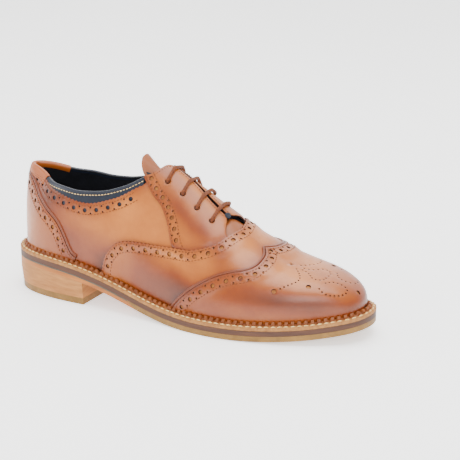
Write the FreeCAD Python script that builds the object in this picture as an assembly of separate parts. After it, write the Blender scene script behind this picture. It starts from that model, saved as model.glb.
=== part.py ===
"""A man's welted oxford brogue, right foot, built up as a shoemaker builds it.

Working frame, in millimetres: +X runs to the toe, +Y to the inner (medial) side of the foot, +Z up.
x = 0 is near the back of the upper and z = 0 is the ground. The finished pieces are moved at the end
so that the origin is under the middle of the shoe.

The upper lies on the last surface, whose coordinates are
  u  distance along the feather line (where upper meets welt) from the toe tip, and
  t  -1 at the outer feather line, 0 along the ridge of the last, +1 at the inner feather line.
A path may also run round the heel: past the back seam, u keeps growing and t counts the inner side.
"""
import FreeCAD, Part
import math
import os

Vector = FreeCAD.Vector

# ---- driving dimensions -------------------------------------------------------------------------
LAST_LENGTH = 295.0      # last, heel back to toe tip
LAST_WIDTH = 89.5        # last, across the ball of the foot
INSTEP_HEIGHT = 112.0    # last, top of the ridge above the feather line
HEEL_RISE = 23.6         # heel seat above the ground, under the outsole
TOE_SPRING = 11.1        # toe tip above the ground, under the outsole

LEATHER = 1.15           # thickness of each upper leather
LINING = 0.9             # thickness of the lining leather
STIFFENER = 0.8          # heel stiffener, toe puff and eyelet stays
LAYER_GAP = 0.15         # between two leathers that lie on each other
SEAM_LAP = 8.0           # how far one leather runs under the next
SEAM_RAMP = 8.0          # length over which the upper leather climbs onto the lower one

WELT_MARGIN = 8.0        # welt edge outside the feather line
WELT = 2.7               # sole layers, from the top down
MIDSOLE = 4.0
SLIP_SOLE = 0.9
OUTSOLE = 3.3
SOLE_GAP = 0.1           # between two sole layers
INSOLE = 2.8
SOCK_LINER = 0.8
RIB_INSET = 2.6          # outer face of the insole rib, inside the feather line
RIB = 2.0                # thickness of the insole rib
SHANK = (105.0, 13.0, 1.2)   # steel shank: length, width, thickness
SHANK_BACK = 42.0        # back end of the shank
STORM_RIB = (3.9, 1.2, 3.1)  # ridge on the welt: distance out, thickness, height
STITCH_LINE = (6.0, 0.9, 0.6)  # welt seam: distance out, thread width, height above the welt

HEEL_BREAST = 66.0       # front face of the heel
TOP_PIECE = 5.5          # rubber top piece of the heel
HEEL_LIFT = 3.4          # each flat leather lift
FLAT_LIFTS = 3
HEEL_TAPER = 0.35        # each lift is this much smaller all round than the one above it
RUBBER_JOINT = 118.0     # where the leather outsole meets the rubber forefoot
JOINT_SLOPE = 6.0        # length of the slanted joint between them
NAIL_RADIUS = 0.9
NAIL_FIT = 0.1
NAIL_INSET = 13.0        # nails inside the heel's edge

LACE = 2.8               # diameter of the round lace
EYELET_BORE = 2.0        # radius
EYELET_WALL = 0.45
EYELET_FLANGE = (3.6, 0.45)  # radius, thickness
FLANGE_GAP = 0.45        # under the curved lining
LINING_JOINT = 108.0     # u where the vamp lining meets the quarter linings
BACK_GAP = 0.2           # each half stops this far short of the back seam
QUARTER_TUCK = SEAM_LAP - 3   # how far, along the shoe, the quarter runs under the vamp's edge
QUARTER_LEATHER = 0.85   # thickness of the quarters, which lie under the facings and the vamp
SKIVE = 0.4              # a quarter is pared this much thinner where the vamp hides it
SKIVE_FADE = 4.0         # length, behind the vamp's edge, over which the paring fades out
FACING_TOP = (181.0, 200.0)  # u of the facing's top corners, at the gap and at the collar
TACK = 0.6               # radius of the throat tack
BAR_LIFT = 0.9           # the lace bars above the facings, which curve away between their ends
EYELET_FIT = 0.12
AGLET = (1.75, 16.0)     # radius, length
TONGUE_DEPTH = 7.0       # outer face of the tongue under the last surface, below the lace

# Stations of the last from toe to heel. Each has the feather line's (x, y) on the outer and on the
# inner side, the ridge's (x, y, z), the side wall's bulge, the height share of the bulge, then the
# width and height share of the shoulder, and the width share and drop beside the ridge.
STATIONS = [
    ((285.5, -9.5), (284.5, 17.0), (286, 6.0, 33.0), 1.0, 0.35, 0.95, 0.78, 0.50, 0.0),
    ((272, -21.0), (272.5, 27.2), (275, 6.0, 40.0), 1.5, 0.34, 0.97, 0.80, 0.55, 0.2),
    ((254, -30.5), (256, 36.0), (258, 6.0, 44.5), 2.5, 0.32, 0.99, 0.80, 0.58, 0.4),
    ((232, -38.5), (234, 42.0), (235, 6.0, 49.5), 3.0, 0.28, 0.97, 0.76, 0.58, 1.2),
    ((207, -44.0), (208, 44.0), (206, 5.0, 62.0), 3.5, 0.22, 0.94, 0.64, 0.54, 3.0),
    ((180, -45.5), (178, 40.0), (175, 3.5, 82.0), 3.0, 0.20, 0.87, 0.53, 0.44, 6.0),
    ((152, -42.5), (148, 31.5), (146, 2.0, 102.0), 3.0, 0.20, 0.83, 0.51, 0.38, 7.5),
    ((122, -37.5), (118, 27.0), (120, 1.0, 117.0), 3.5, 0.22, 0.84, 0.52, 0.36, 7.0),
    ((90, -34.0), (88, 28.5), (96, 0.0, 124.0), 3.5, 0.25, 0.82, 0.58, 0.40, 4.0),
    ((55, -33.0), (55, 31.0), (70, 0.0, 125.0), 3.0, 0.28, 0.80, 0.64, 0.45, 2.0),
    ((22, -29.0), (22, 29.0), (42, 0.0, 123.0), 3.0, 0.30, 0.78, 0.68, 0.48, 2.0),
    ((1, -17.5), (1, 17.5), (22, 0.0, 119.0), 3.2, 0.30, 0.74, 0.70, 0.50, 2.0),
]
TOE_TIP = (289.5, 4.5)
HEEL_BACK = (-5.0, 5.0, 15.0, 117.0)   # x at the feather line, bulge, x and z of the ridge's end
# Rise of the feather line along the shoe, as shares of HEEL_RISE behind the ball of the foot
# and of TOE_SPRING ahead of it.
BALL = 180.0
RISE = [(-10, 1.0), (30, 0.975), (60, 0.85), (90, 0.575), (120, 0.255), (150, 0.045), (BALL, 0.0),
        (205, 0.03), (230, 0.145), (260, 0.415), (300, 1.0)]
NOMINAL = (295.0, 89.5, 112.0)         # last length, ball width and instep height of the stations

# Pattern lines on the last. The centre line of the pattern swings across the ridge (u, t).
CENTRE_LINE = [(0, -0.19), (60, -0.15), (96, -0.122), (127, -0.097), (136, -0.079), (146, -0.043),
               (152, -0.005), (160, 0.035), (178, 0.07), (200, 0.05), (222, 0.01), (240, 0.0), (330, 0.0)]
# The other lines give a distance from that centre line, 0 on it and 1 at either feather line.
WING_EDGE = [(0, 96), (0.08, 93), (0.24, 91.3), (0.37, 92.9), (0.48, 99), (0.56, 108), (0.64, 117.5),
             (0.73, 127.5), (0.82, 138), (0.90, 147.5), (1.0, 160)]
VAMP_EDGE = [(0, 115.3), (0.10, 116.4), (0.235, 119.2), (0.377, 124.3), (0.471, 131), (0.554, 140),
             (0.639, 153), (0.686, 164), (0.726, 177), (0.762, 191.5), (0.81, 209), (0.851, 217),
             (0.897, 222.5), (0.94, 225.5), (1.0, 227)]
# The lacing edge from the vamp up, round the window over the tongue, then along the collar's rim.
TOP_EDGE = [(112, 0.225), (116, 0.226), (119.5, 0.225), (122, 0.20), (123.6, 0.145), (125, 0.08),
            (127, 0.035), (131, 0.024), (145, 0.026), (160, 0.028), (173, 0.032), (180, 0.045), (183, 0.10), (186, 0.205),
            (189, 0.285), (192, 0.335), (196, 0.372), (200, 0.402), (209, 0.472), (222, 0.544), (235, 0.60),
            (248, 0.635), (262, 0.657), (276, 0.655), (303, 0.615), (317, 0.56), (328, 0.545)]
COLLAR_SEAM = [(192, 0.415), (196, 0.446), (205, 0.507), (217, 0.587), (230, 0.65), (243, 0.70), (258, 0.72),
               (272, 0.71), (296, 0.663), (315, 0.60), (328, 0.59)]
COUNTER_TOP = [(250, 0.975), (256, 0.965), (262, 0.925), (271, 0.865), (284, 0.82), (297, 0.78),
               (310, 0.725), (317, 0.67), (322, 0.64), (328, 0.625)]
FACING_REAR = [(160, 0.68), (162, 0.665), (164, 0.642), (167, 0.598), (171, 0.556), (177.5, 0.513),
               (186.5, 0.488), (193.5, 0.45), (200, 0.402)]
EYELETS = [(133.7, 0.231), (147.3, 0.269), (161.4, 0.305), (176.9, 0.322)]


# ---- small mathematics --------------------------------------------------------------------------
def solved(matrix, right):
    """Gauss elimination; each right-hand side is a list."""
    rows = [list(line) + list(value) for line, value in zip(matrix, right)]
    size = len(rows)
    for i in range(size):
        pivot = max(range(i, size), key=lambda k: abs(rows[k][i]))
        rows[i], rows[pivot] = rows[pivot], rows[i]
        rows[i] = [v / rows[i][i] for v in rows[i]]
        for k in range(size):
            if k != i and rows[k][i]:
                factor = rows[k][i]
                rows[k] = [a - factor * b for a, b in zip(rows[k], rows[i])]
    return [line[size:] for line in rows]


def spline(points):
    """The natural cubic through (x, y) points, as a function that ends in straight lines."""
    xs = [float(p[0]) for p in points]
    ys = [float(p[1]) for p in points]
    last = len(xs) - 1
    gaps = [b - a for a, b in zip(xs, xs[1:])]
    slopes = [(d - c) / h for c, d, h in zip(ys, ys[1:], gaps)]
    matrix = [[float(i == k) for k in range(last + 1)] for i in range(last + 1)]
    right = [[0.0] for _ in xs]
    for i in range(1, last):
        matrix[i][i - 1:i + 2] = [gaps[i - 1], 2 * (gaps[i - 1] + gaps[i]), gaps[i]]
        right[i] = [6 * (slopes[i] - slopes[i - 1])]
    bend = [v[0] for v in solved(matrix, right)]

    def value(x):
        i = max(0, min(last - 1, sum(1 for v in xs if v <= x) - 1))
        inside = min(max(x, xs[0]), xs[-1])
        s = inside - xs[i]
        first = slopes[i] - gaps[i] * (2 * bend[i] + bend[i + 1]) / 6
        third = (bend[i + 1] - bend[i]) / (6 * gaps[i])
        slope = first + s * (bend[i] + 3 * third * s)
        return ys[i] + s * (first + s * (bend[i] / 2 + s * third)) + slope * (x - inside)

    return value


def smooth(share):
    """0 below 0, 1 above 1, and an even S between them."""
    share = min(max(share, 0.0), 1.0)
    return share * share * (3 - 2 * share)


def spaced(start, end, count):
    return [start + (end - start) * i / (count - 1) for i in range(count)]


def basis(knots, degree, x):
    """The values of all B-spline basis functions at x."""
    x = min(max(x, knots[degree]), knots[-degree - 1] - 1e-9)
    values = [float(a <= x < b) for a, b in zip(knots, knots[1:])]
    for d in range(1, degree + 1):
        rising = [(x - knots[i]) / (knots[i + d] - knots[i]) * values[i] if values[i] else 0.0
                  for i in range(len(values) - 1)]
        falling = [(knots[i + d + 1] - x) / (knots[i + d + 1] - knots[i + 1]) * values[i + 1]
                   if values[i + 1] else 0.0 for i in range(len(values) - 1)]
        values = [a + b for a, b in zip(rising, falling)]
    return values


# ---- the last -----------------------------------------------------------------------------------
LENGTHEN = LAST_LENGTH / NOMINAL[0]
WIDEN = LAST_WIDTH / NOMINAL[1]
HEIGHTEN = INSTEP_HEIGHT / NOMINAL[2]
SOLE = WELT + MIDSOLE + SLIP_SOLE + OUTSOLE + 3 * SOLE_GAP

rise_share = spline(RISE)


def feather_height(x):
    """z of the feather line, which is also the top of the welt, at the finished shoe's x."""
    nominal_x = x / LENGTHEN
    rise = HEEL_RISE if nominal_x < BALL else TOE_SPRING
    return SOLE + rise * rise_share(nominal_x)


def last_rows():
    """Control points of each station across the last, from the outer to the inner feather line."""
    rows = []
    for outer, inner, (ridge_x, ridge_y, ridge_z), bulge, low, wide, high, crown, drop in STATIONS:
        # The ridge stands above the feather line of the sizes that the stations were drawn for.
        sides = []
        for x, y in (outer, inner):
            base = feather_height(x * LENGTHEN)
            drawn = 11.2 + (23.6 if x < BALL else 11.1) * rise_share(x)
            height = (ridge_z - drawn) * HEIGHTEN
            out = (y - ridge_y) * WIDEN
            swell = math.copysign(bulge, out)
            shift = ridge_x - x
            sides.append([
                Vector(x, 0, base) + Vector(0, ridge_y * WIDEN + out, 0),
                Vector(x + 0.15 * shift, ridge_y * WIDEN + out + swell, base + low * height),
                Vector(x + 0.55 * shift, ridge_y * WIDEN + out * wide, base + high * height),
                Vector(x + 0.95 * shift, ridge_y * WIDEN + out * crown, base + height - drop),
            ])
            ridge = Vector(ridge_x, ridge_y * WIDEN, base + height)
        rows.append(sides[0] + [ridge] + sides[1][::-1])
    return rows


def heel_row():
    x, bulge, ridge_x, ridge_z = HEEL_BACK
    base = feather_height(x * LENGTHEN)
    height = (ridge_z - 11.2 - 23.6 * rise_share(x)) * HEIGHTEN
    side = [Vector(x, 0, base), Vector(x - bulge, 0, base + 0.30 * height),
            Vector(x - 1, 0, base + 0.72 * height), Vector(x + 5, 0, base + height - 2)]
    return side + [Vector(ridge_x, 0, base + height)] + side[::-1]


def last_surface():
    """The last as a cubic B-spline surface in (u, t), and the u of the back seam."""
    toe = Vector(TOE_TIP[0], TOE_TIP[1] * WIDEN, feather_height(TOE_TIP[0] * LENGTHEN))
    rows = [[toe] * 9] + last_rows() + [heel_row()]
    plan = [(TOE_TIP, TOE_TIP)] + [(s[0], s[1]) for s in STATIONS] + [((HEEL_BACK[0], 0),) * 2]
    stops = [0.0]
    for here, there in zip(plan, plan[1:]):
        stops.append(stops[-1] + sum(math.dist(a, b) for a, b in zip(here, there)) / 2)
    turn = [1, 0.86, 0.72, 0.60, 0.5, 0.40, 0.28, 0.14, 0]
    fan = [Vector(0, 1.12 * math.cos(math.pi * a), 1.5 * math.sin(math.pi * a)) for a in turn]
    side = [-1, -1.1, -1, -0.75, 0, 0.75, 1, 1.1, 1]
    tail = [Vector(0, -1.05 * s, 0) for s in side]
    tail[4] = Vector(-1, 0, -0.1)
    knots = [stops[0]] * 3 + stops + [stops[-1]] * 3
    size = len(rows) + 2
    matrix = [[0.0] * size for _ in range(size)]
    matrix[0][0] = matrix[-1][-1] = 1.0
    matrix[1][:2] = [-3 / (knots[4] - knots[1]), 3 / (knots[4] - knots[1])]
    matrix[-2][-2:] = [-3 / (knots[size + 2] - knots[size - 1]), 3 / (knots[size + 2] - knots[size - 1])]
    for i, stop in enumerate(stops[1:-1]):
        matrix[i + 2] = basis(knots, 3, stop)
    wanted = [rows[0], fan] + rows[1:-1] + [tail, rows[-1]]
    flat = solved(matrix, [[c for point in row for c in point] for row in wanted])
    poles = [[Vector(line[3 * k] * LENGTHEN, *line[3 * k + 1:3 * k + 3]) for k in range(9)]
             for line in flat]
    surface = Part.BSplineSurface()
    ends = [4] + [1] * (len(stops) - 2) + [4]
    across = [k / 6 for k in range(7)]
    surface.buildFromPolesMultsKnots(poles, ends, [4, 1, 1, 1, 1, 1, 4], stops, across,
                                     False, False, 3, 3)
    return surface, stops[-1]


LAST, BACK_SEAM = last_surface()


def on_last(u, t, offset=0.0):
    """A point offset outwards from the last; u runs on past the back seam along the inner side."""
    if u > BACK_SEAM:
        u, t = 2 * BACK_SEAM - u, -t
    v = min(max((t + 1) / 2, 0.0), 1.0)
    return LAST.value(u, v) - LAST.normal(u, v) * offset


centre_line = spline(CENTRE_LINE)
wing_edge = spline(WING_EDGE)
vamp_edge = spline(VAMP_EDGE)
top_edge = spline(TOP_EDGE)
collar_seam = spline(COLLAR_SEAM)
counter_top = spline(COUNTER_TOP)
facing_rear = spline(FACING_REAR)


def pattern(u, distance, side):
    """(u, t) at a distance from the pattern's centre line; side is -1 outer, +1 inner."""
    middle = centre_line(u)
    return u, middle + side * distance * (1 - side * middle)


# ---- solids from sheets on the last -------------------------------------------------------------
# Offsets of the layers from the last surface, inside face and outside face.
LINING_LAYER = (-STIFFENER - 2 * LAYER_GAP - LINING, -STIFFENER - 2 * LAYER_GAP)
STIFF_LAYER = (-STIFFENER - LAYER_GAP, -LAYER_GAP)
STAY_LAYER = (-STIFFENER, -STIFFENER / 2)      # the eyelet stays are half as thick
BASE_LAYER = (0.0, LEATHER)
COVER_LAYER = (LEATHER + LAYER_GAP, 2 * LEATHER + LAYER_GAP)


def box_of_faces(inside, outside):
    """A closed solid between two grids of points that match one to one."""
    skins = []
    for grid in (inside, outside):
        skin = Part.BSplineSurface()
        skin.interpolate(grid)
        skins.append(skin)
    faces = [skin.toShape() for skin in skins]
    u0, u1, v0, v1 = skins[0].bounds()
    p0, p1, q0, q1 = skins[1].bounds()
    rims = [(skins[0].uIso(u0), skins[1].uIso(p0)), (skins[0].uIso(u1), skins[1].uIso(p1)),
            (skins[0].vIso(v0), skins[1].vIso(q0)), (skins[0].vIso(v1), skins[1].vIso(q1))]
    faces += [Part.makeRuledSurface(a.toShape(), b.toShape()) for a, b in rims]
    shell = Part.makeShell(faces)
    shell.sewShape(0.001)
    solid = Part.makeSolid(Part.Shell(shell.Faces))
    solid.fix(0.001, 0.001, 0.001)
    if solid.Volume < 0:
        solid.reverse()
    return solid


def sheet(place, layer, rows, columns):
    """A leather between two offsets of the last. place(a, b) gives (u, t) for a and b from 0 to 1;
    layer is a pair of offsets, or a function that gives the pair at (a, b)."""
    inside, outside = [], []
    for a in spaced(0, 1, rows):
        inner_row, outer_row = [], []
        for b in spaced(0, 1, columns):
            u, t = place(a, b)
            low, high = layer(a, b) if callable(layer) else layer
            inner_row.append(on_last(u, t, low))
            outer_row.append(on_last(u, t, high))
        inside.append(inner_row)
        outside.append(outer_row)
    return box_of_faces(inside, outside)


def between(low, high):
    """A place() that runs from the line low(a) to the line high(a)."""
    def place(a, b):
        (u0, t0), (u1, t1) = low(a), high(a)
        return u0 + (u1 - u0) * b, t0 + (t1 - t0) * b
    return place


def climb(run, from_layer, to_layer, lap_start, lap_end):
    """A layer() that climbs between two layers; run(a, b) is the distance to the covering edge."""
    def layer(a, b):
        share = smooth((lap_start - run(a, b)) / (lap_start - lap_end))
        return tuple(x + (y - x) * share for x, y in zip(from_layer, to_layer))
    return layer


TOE_START = 3.0          # the sheets round the toe tip start this far from it
FEATHER = 0.998          # the sheets end just above the welt


def signed(a):
    """Side and distance from the centre line for a running from -1 to +1 across the shoe."""
    return (-1 if a < 0.5 else 1), abs(2 * a - 1) * FEATHER


def across_shoe(front, rear):
    """A place() for a piece that crosses the shoe: front and rear give u at a centre-line distance."""
    def place(a, b):
        side, distance = signed(a)
        u = front(distance) + (rear(distance) - front(distance)) * b
        return pattern(u, distance, side)
    return place


def wing_cap():
    def run(a, b):
        edge = wing_edge(signed(a)[1])
        return (edge - TOE_START) * (1 - b)
    layer = climb(run, BASE_LAYER, COVER_LAYER, SEAM_LAP + SEAM_RAMP, SEAM_LAP)
    return sheet(across_shoe(lambda d: TOE_START, wing_edge), layer, 45, 15)


def vamp():
    def front(d):
        return wing_edge(d) - SEAM_LAP + LAYER_GAP

    def run(a, b):
        d = signed(a)[1]
        return (vamp_edge(d) - front(d)) * (1 - b)
    layer = climb(run, BASE_LAYER, COVER_LAYER, SEAM_LAP + SEAM_RAMP, SEAM_LAP)
    return sheet(across_shoe(front, vamp_edge), layer, 45, 25)


def vamp_lining():
    return sheet(across_shoe(lambda d: TOE_START, lambda d: LINING_JOINT), LINING_LAYER, 35, 13)


def toe_puff():
    reach = 62.0
    return sheet(across_shoe(lambda d: TOE_START, lambda d: reach - 12 * d * d), STIFF_LAYER, 31, 9)


def quarter_line(side, start, edge):
    """The line of a quarter's edge(u) from u = start to the back seam."""
    def line(a):
        u = start + (BACK_SEAM - BACK_GAP - start) * a
        return pattern(u, edge(u), side)
    return line


def quarter_lining(side):
    start = LINING_JOINT + LAYER_GAP
    low = quarter_line(side, start, lambda u: FEATHER)
    high = quarter_line(side, start, top_edge)
    return sheet(between(low, high), LINING_LAYER, 33, 17)


def quarter_top(u):
    """Upper edge of the quarter leather: the lacing edge, then just under the collar."""
    share = smooth((u - FACING_TOP[1] + 8) / 10)
    return top_edge(u) * (1 - share) + (collar_seam(u) + 0.004) * share


def quarter(side):
    """The quarter tucks under the vamp's edge and runs back to the seam under the counter."""
    throat, heel = 122.0, BACK_SEAM - BACK_GAP
    swirl = spline([(stop, distance) for distance, stop in VAMP_EDGE[2:]])

    def station(a):
        return throat + (heel - throat) * a

    def low_edge(u):
        return min(swirl(min(u + QUARTER_TUCK, VAMP_EDGE[-1][1])), FEATHER)

    def low(a):
        return pattern(station(a), low_edge(station(a)), side)

    def high(a):
        return pattern(station(a), quarter_top(station(a)), side)

    def layer(a, b):
        u = station(a)
        hidden = vamp_edge(low_edge(u) + (quarter_top(u) - low_edge(u)) * b) - u
        return 0.0, QUARTER_LEATHER - SKIVE * smooth((hidden + SKIVE_FADE) / SKIVE_FADE)
    return sheet(between(low, high), layer, 61, 17)


def collar(side):
    start = 201.0

    def low(a):
        u = start + (BACK_SEAM - BACK_GAP - start) * a
        return pattern(u, collar_seam(u) - 0.004, side)

    def high(a):
        u = start + (BACK_SEAM - BACK_GAP - start) * a
        return pattern(u, top_edge(u), side)
    return sheet(between(low, high), BASE_LAYER, 23, 5)


def round_heel(front, low, high):
    """A place() for a piece wrapped round the heel from u = front on each side."""
    def place(a, b):
        u = front + 2 * (BACK_SEAM - front) * a
        near = min(u, 2 * BACK_SEAM - u)
        distance = low(near) + (high(near) - low(near)) * b
        return u, -distance
    return place


def counter_cover():
    return sheet(round_heel(252.0, lambda u: FEATHER, counter_top), COVER_LAYER, 39, 7)


def counter_piping():
    """The bead along the counter's edge, lying on the quarter."""
    bead = 0.022
    place = round_heel(253.0, lambda u: counter_top(u) - 0.004, lambda u: counter_top(u) - bead)
    return sheet(place, COVER_LAYER, 39, 4)


def wing_piping():
    bead = 2.6
    place = across_shoe(lambda d: wing_edge(d) + LAYER_GAP, lambda d: wing_edge(d) + bead)
    return sheet(place, COVER_LAYER, 45, 4)


def heel_stiffener():
    top = spline([(258, 0.93), (272, 0.84), (290, 0.77), (310, 0.70), (328, 0.66)])
    return sheet(round_heel(260.0, lambda u: 0.985, top), STIFF_LAYER, 31, 7)


def heel_tab():
    """The tan binding over the collar's rim at the back."""
    return sheet(round_heel(305.0, lambda u: top_edge(u) + 0.028, lambda u: top_edge(u) - 0.004),
                 COVER_LAYER, 15, 4)


def facing_patch(side, inset=0.0):
    """A place() for the lacing facing: up along the shoe with a, and away from the gap with b.
    It is spread evenly between its four edges."""
    window, throat_rear = 0.225, 0.672

    def left(a):
        u = vamp_edge(window) + LAYER_GAP + (FACING_TOP[0] - vamp_edge(window) - LAYER_GAP) * a
        return u, top_edge(u) + inset

    def right(a):
        first = vamp_edge(throat_rear) + LAYER_GAP
        u = first + (FACING_TOP[1] - first) * a
        return u, facing_rear(u) - inset

    def bottom(b):
        distance = window + (throat_rear - window) * b
        return vamp_edge(distance) + LAYER_GAP, distance + inset * (1 - 2 * b)

    def top(b):
        u = FACING_TOP[0] + (FACING_TOP[1] - FACING_TOP[0]) * b
        return u, top_edge(u) + inset * (1 - 2 * b)

    def place(a, b):
        mixed = []
        for k in (0, 1):
            sides = left(a)[k] * (1 - b) + right(a)[k] * b + bottom(b)[k] * (1 - a) + top(b)[k] * a
            corners = (left(0)[k] * (1 - b) + right(0)[k] * b) * (1 - a)
            corners += (left(1)[k] * (1 - b) + right(1)[k] * b) * a
            mixed.append(sides - corners)
        return pattern(*mixed, side)
    return place


def facing(side):
    return sheet(facing_patch(side), COVER_LAYER, 27, 19)


def eyelet_stay(side):
    return sheet(facing_patch(side, 0.05), STAY_LAYER, 17, 13)


# ---- tongue -------------------------------------------------------------------------------------
TONGUE_START = 112.0
TONGUE_END = 205.0
TONGUE_LINING = 0.8
TONGUE_LEATHER = 1.3
TONGUE_LEAN = math.radians(56)   # how far the offset leans out at the tongue's widest
tongue_half = spline([(112, 0.27), (125, 0.285), (150, 0.34), (175, 0.385), (190, 0.38), (198, 0.335),
                      (205, 0.22)])
# How deep the tongue's outer face lies under the last surface: close under the throat, deeper below
# the lace, and rolled outwards again above the facings.
tongue_depth = spline([(112, 3.3), (118, 5.2), (127, TONGUE_DEPTH), (160, TONGUE_DEPTH), (186, TONGUE_DEPTH),
                       (198, 4.4), (205, 2.2)])


def under_last(u, share, depth):
    """A point under the last, share of the tongue's half width from its middle line. The offset turns
    evenly from side to side, because the last's own normals would cross under its sharp ridge."""
    middle, half = centre_line(u), tongue_half(u)
    t = middle + half * share
    lean = TONGUE_LEAN * half * share / 0.385
    up = LAST.normal(u, (middle + 1) / 2) * -math.cos(lean) + Vector(0, math.sin(lean), 0)
    return LAST.value(u, (t + 1) / 2) - up * depth


def tongue_piece(top, thickness):
    grids = []
    for depth in (top + thickness, top):
        grids.append([[under_last(u, share, tongue_depth(u) + depth) for share in spaced(-1, 1, 11)]
                      for u in spaced(TONGUE_START, TONGUE_END, 21)])
    return box_of_faces(*grids)


# ---- the sole -----------------------------------------------------------------------------------
def feather_plan(steps):
    """Points and outward normals of the feather line in plan, once round from the toe tip."""
    points = []
    for k in range(steps):
        u = 2 * BACK_SEAM * k / steps
        here, ahead, behind = (on_last(v, -1.0) for v in (u, u + 0.4, abs(u - 0.4)))
        if u < 0.4:
            behind = on_last(0.4, 1.0)
        along = Vector(ahead.x - behind.x, ahead.y - behind.y, 0).normalize()
        points.append((here, Vector(along.y, -along.x, 0)))
    return points


PLAN = feather_plan(76)
middle_point = Vector(sum(p.x for p, _ in PLAN) / len(PLAN), sum(p.y for p, _ in PLAN) / len(PLAN), 0)
if (PLAN[0][0] - middle_point).dot(PLAN[0][1]) < 0:
    PLAN = [(p, -n) for p, n in PLAN]


def outline(margin, z=0.0):
    """A closed wire in plan, margin outside the feather line."""
    curve = Part.BSplineCurve()
    curve.interpolate([Vector(p.x + n.x * margin, p.y + n.y * margin, z) for p, n in PLAN], True)
    return Part.Wire([curve.toShape()])


X_LOW, X_HIGH = -40.0, LAST_LENGTH + 40.0
HALF_SPAN = LAST_WIDTH
TALL = 80.0


def prism(*margins):
    """The space inside one outline, or between two, from the ground up."""
    wires = [outline(m, -5.0) for m in margins]
    face = Part.makeFace(wires, "Part::FaceMakerBullseye") if len(wires) > 1 else Part.Face(wires[0])
    return face.extrude(Vector(0, 0, TALL))


def slab(below_top, below_bottom, x0=X_LOW, x1=X_HIGH):
    """The space between two depths under the feather line, from x0 to x1."""
    def edge(depth):
        curve = Part.BSplineCurve()
        curve.interpolate([Vector(x, -HALF_SPAN, feather_height(x) - depth)
                           for x in spaced(x0, x1, max(8, int((x1 - x0) / 14)))])
        return curve.toShape()
    top, bottom = edge(below_top), edge(below_bottom)
    ends = [Part.makeLine(a.valueAt(a.ParameterRange[k]), b.valueAt(b.ParameterRange[k]))
            for a, b, k in ((top, bottom, 0), (top, bottom, 1))]
    face = Part.Face(Part.Wire([top, ends[1], bottom, ends[0]]))
    return face.extrude(Vector(0, 2 * HALF_SPAN, 0))


def layer_below(depth, thickness, *margins, x0=X_LOW, x1=X_HIGH):
    return prism(*margins).common(slab(depth, depth + thickness, x0, x1))


def welt():
    return layer_below(0.05, WELT - 0.05, WELT_MARGIN, -RIB_INSET + SOLE_GAP)


def storm_rib():
    out, thick, high = STORM_RIB
    return layer_below(-high, high - 0.05, out + thick, out)


def welt_stitching():
    out, wide, high = STITCH_LINE
    return layer_below(-high, high - 0.05, out + wide, out)


def insole_rib():
    return layer_below(0.05, WELT - 0.05, -RIB_INSET, -RIB_INSET - RIB)


def insole():
    inside = LINING_LAYER[0] - 0.35
    return layer_below(-INSOLE - 0.05, INSOLE, inside)


def sock_liner():
    inside = LINING_LAYER[0] - 0.5
    return layer_below(-INSOLE - SOCK_LINER - 0.15, SOCK_LINER, inside)


def shank_box(grow):
    """The steel shank's plan, in the middle of the waist, as a prism."""
    length, width, _ = SHANK
    middle = (on_last(230, -1).y + on_last(230, 1).y) / 2
    bar = Part.makeBox(length + 2 * grow, width + 2 * grow, TALL,
                       Vector(SHANK_BACK - grow, middle - width / 2 - grow, -5))
    return bar


def shank():
    return shank_box(0).common(slab(0.8, 0.8 + SHANK[2]))


def cork_filler():
    cork = layer_below(0.1, WELT - 0.15, -RIB_INSET - RIB - SOLE_GAP)
    return cork.cut(shank_box(0.2).common(slab(0.6, 1.0 + SHANK[2])))


def midsole():
    return layer_below(WELT + SOLE_GAP, MIDSOLE, WELT_MARGIN)


SLIP_TOP = WELT + MIDSOLE + 2 * SOLE_GAP
OUTSOLE_TOP = SLIP_TOP + SLIP_SOLE + SOLE_GAP


def joint_wedge(front):
    """Everything behind (front False) or ahead of the slanted joint across the forefoot."""
    gap = SOLE_GAP if front else -SOLE_GAP
    x = RUBBER_JOINT * LENGTHEN + gap
    far = X_HIGH if front else X_LOW
    low, high = -5.0, TALL
    slant = JOINT_SLOPE / (SLIP_SOLE + OUTSOLE)
    level = feather_height(x) - SOLE
    corners = [Vector(x + slant * (level - low), 0, low), Vector(x + slant * (level - high), 0, high),
               Vector(far, 0, high), Vector(far, 0, low)]
    face = Part.Face(Part.makePolygon(corners + corners[:1]))
    face.translate(Vector(0, -HALF_SPAN, 0))
    return face.extrude(Vector(0, 2 * HALF_SPAN, 0))


def slip_sole():
    return layer_below(SLIP_TOP, SLIP_SOLE, WELT_MARGIN).common(joint_wedge(False))


def outsole():
    return layer_below(OUTSOLE_TOP, OUTSOLE, WELT_MARGIN).common(joint_wedge(False))


def forefoot_sole():
    return layer_below(SLIP_TOP, SLIP_SOLE + SOLE_GAP + OUTSOLE, WELT_MARGIN).common(joint_wedge(True))


# ---- the heel -----------------------------------------------------------------------------------
def heel_margin(level):
    """Edge of the lift that is `level` lifts above the top piece."""
    return WELT_MARGIN - HEEL_TAPER * (FLAT_LIFTS + 1 - level)


def heel_slice(level, low, high):
    block = prism(heel_margin(level))
    breast = HEEL_BREAST * LENGTHEN
    return block.common(Part.makeBox(breast - X_LOW, 2 * HALF_SPAN, high - low,
                                     Vector(X_LOW, -HALF_SPAN, low)))


NAIL_TURNS = 7


def nail_places():
    """Nails in a horseshoe inside the heel's edge."""
    inside = [Vector(p.x - n.x * NAIL_INSET, p.y - n.y * NAIL_INSET, 0) for p, n in PLAN]
    rear = [p for p in inside if p.x < (HEEL_BREAST - 10) * LENGTHEN]
    return [rear[round(k * (len(rear) - 1) / (NAIL_TURNS - 1))] for k in range(NAIL_TURNS)]


def nail_bores():
    return [Part.makeCylinder(NAIL_RADIUS + NAIL_FIT, TALL, p) for p in nail_places()]


def lift_bottom(level):
    return TOP_PIECE + SOLE_GAP / 2 + (level - 1) * (HEEL_LIFT + SOLE_GAP / 2)


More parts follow.
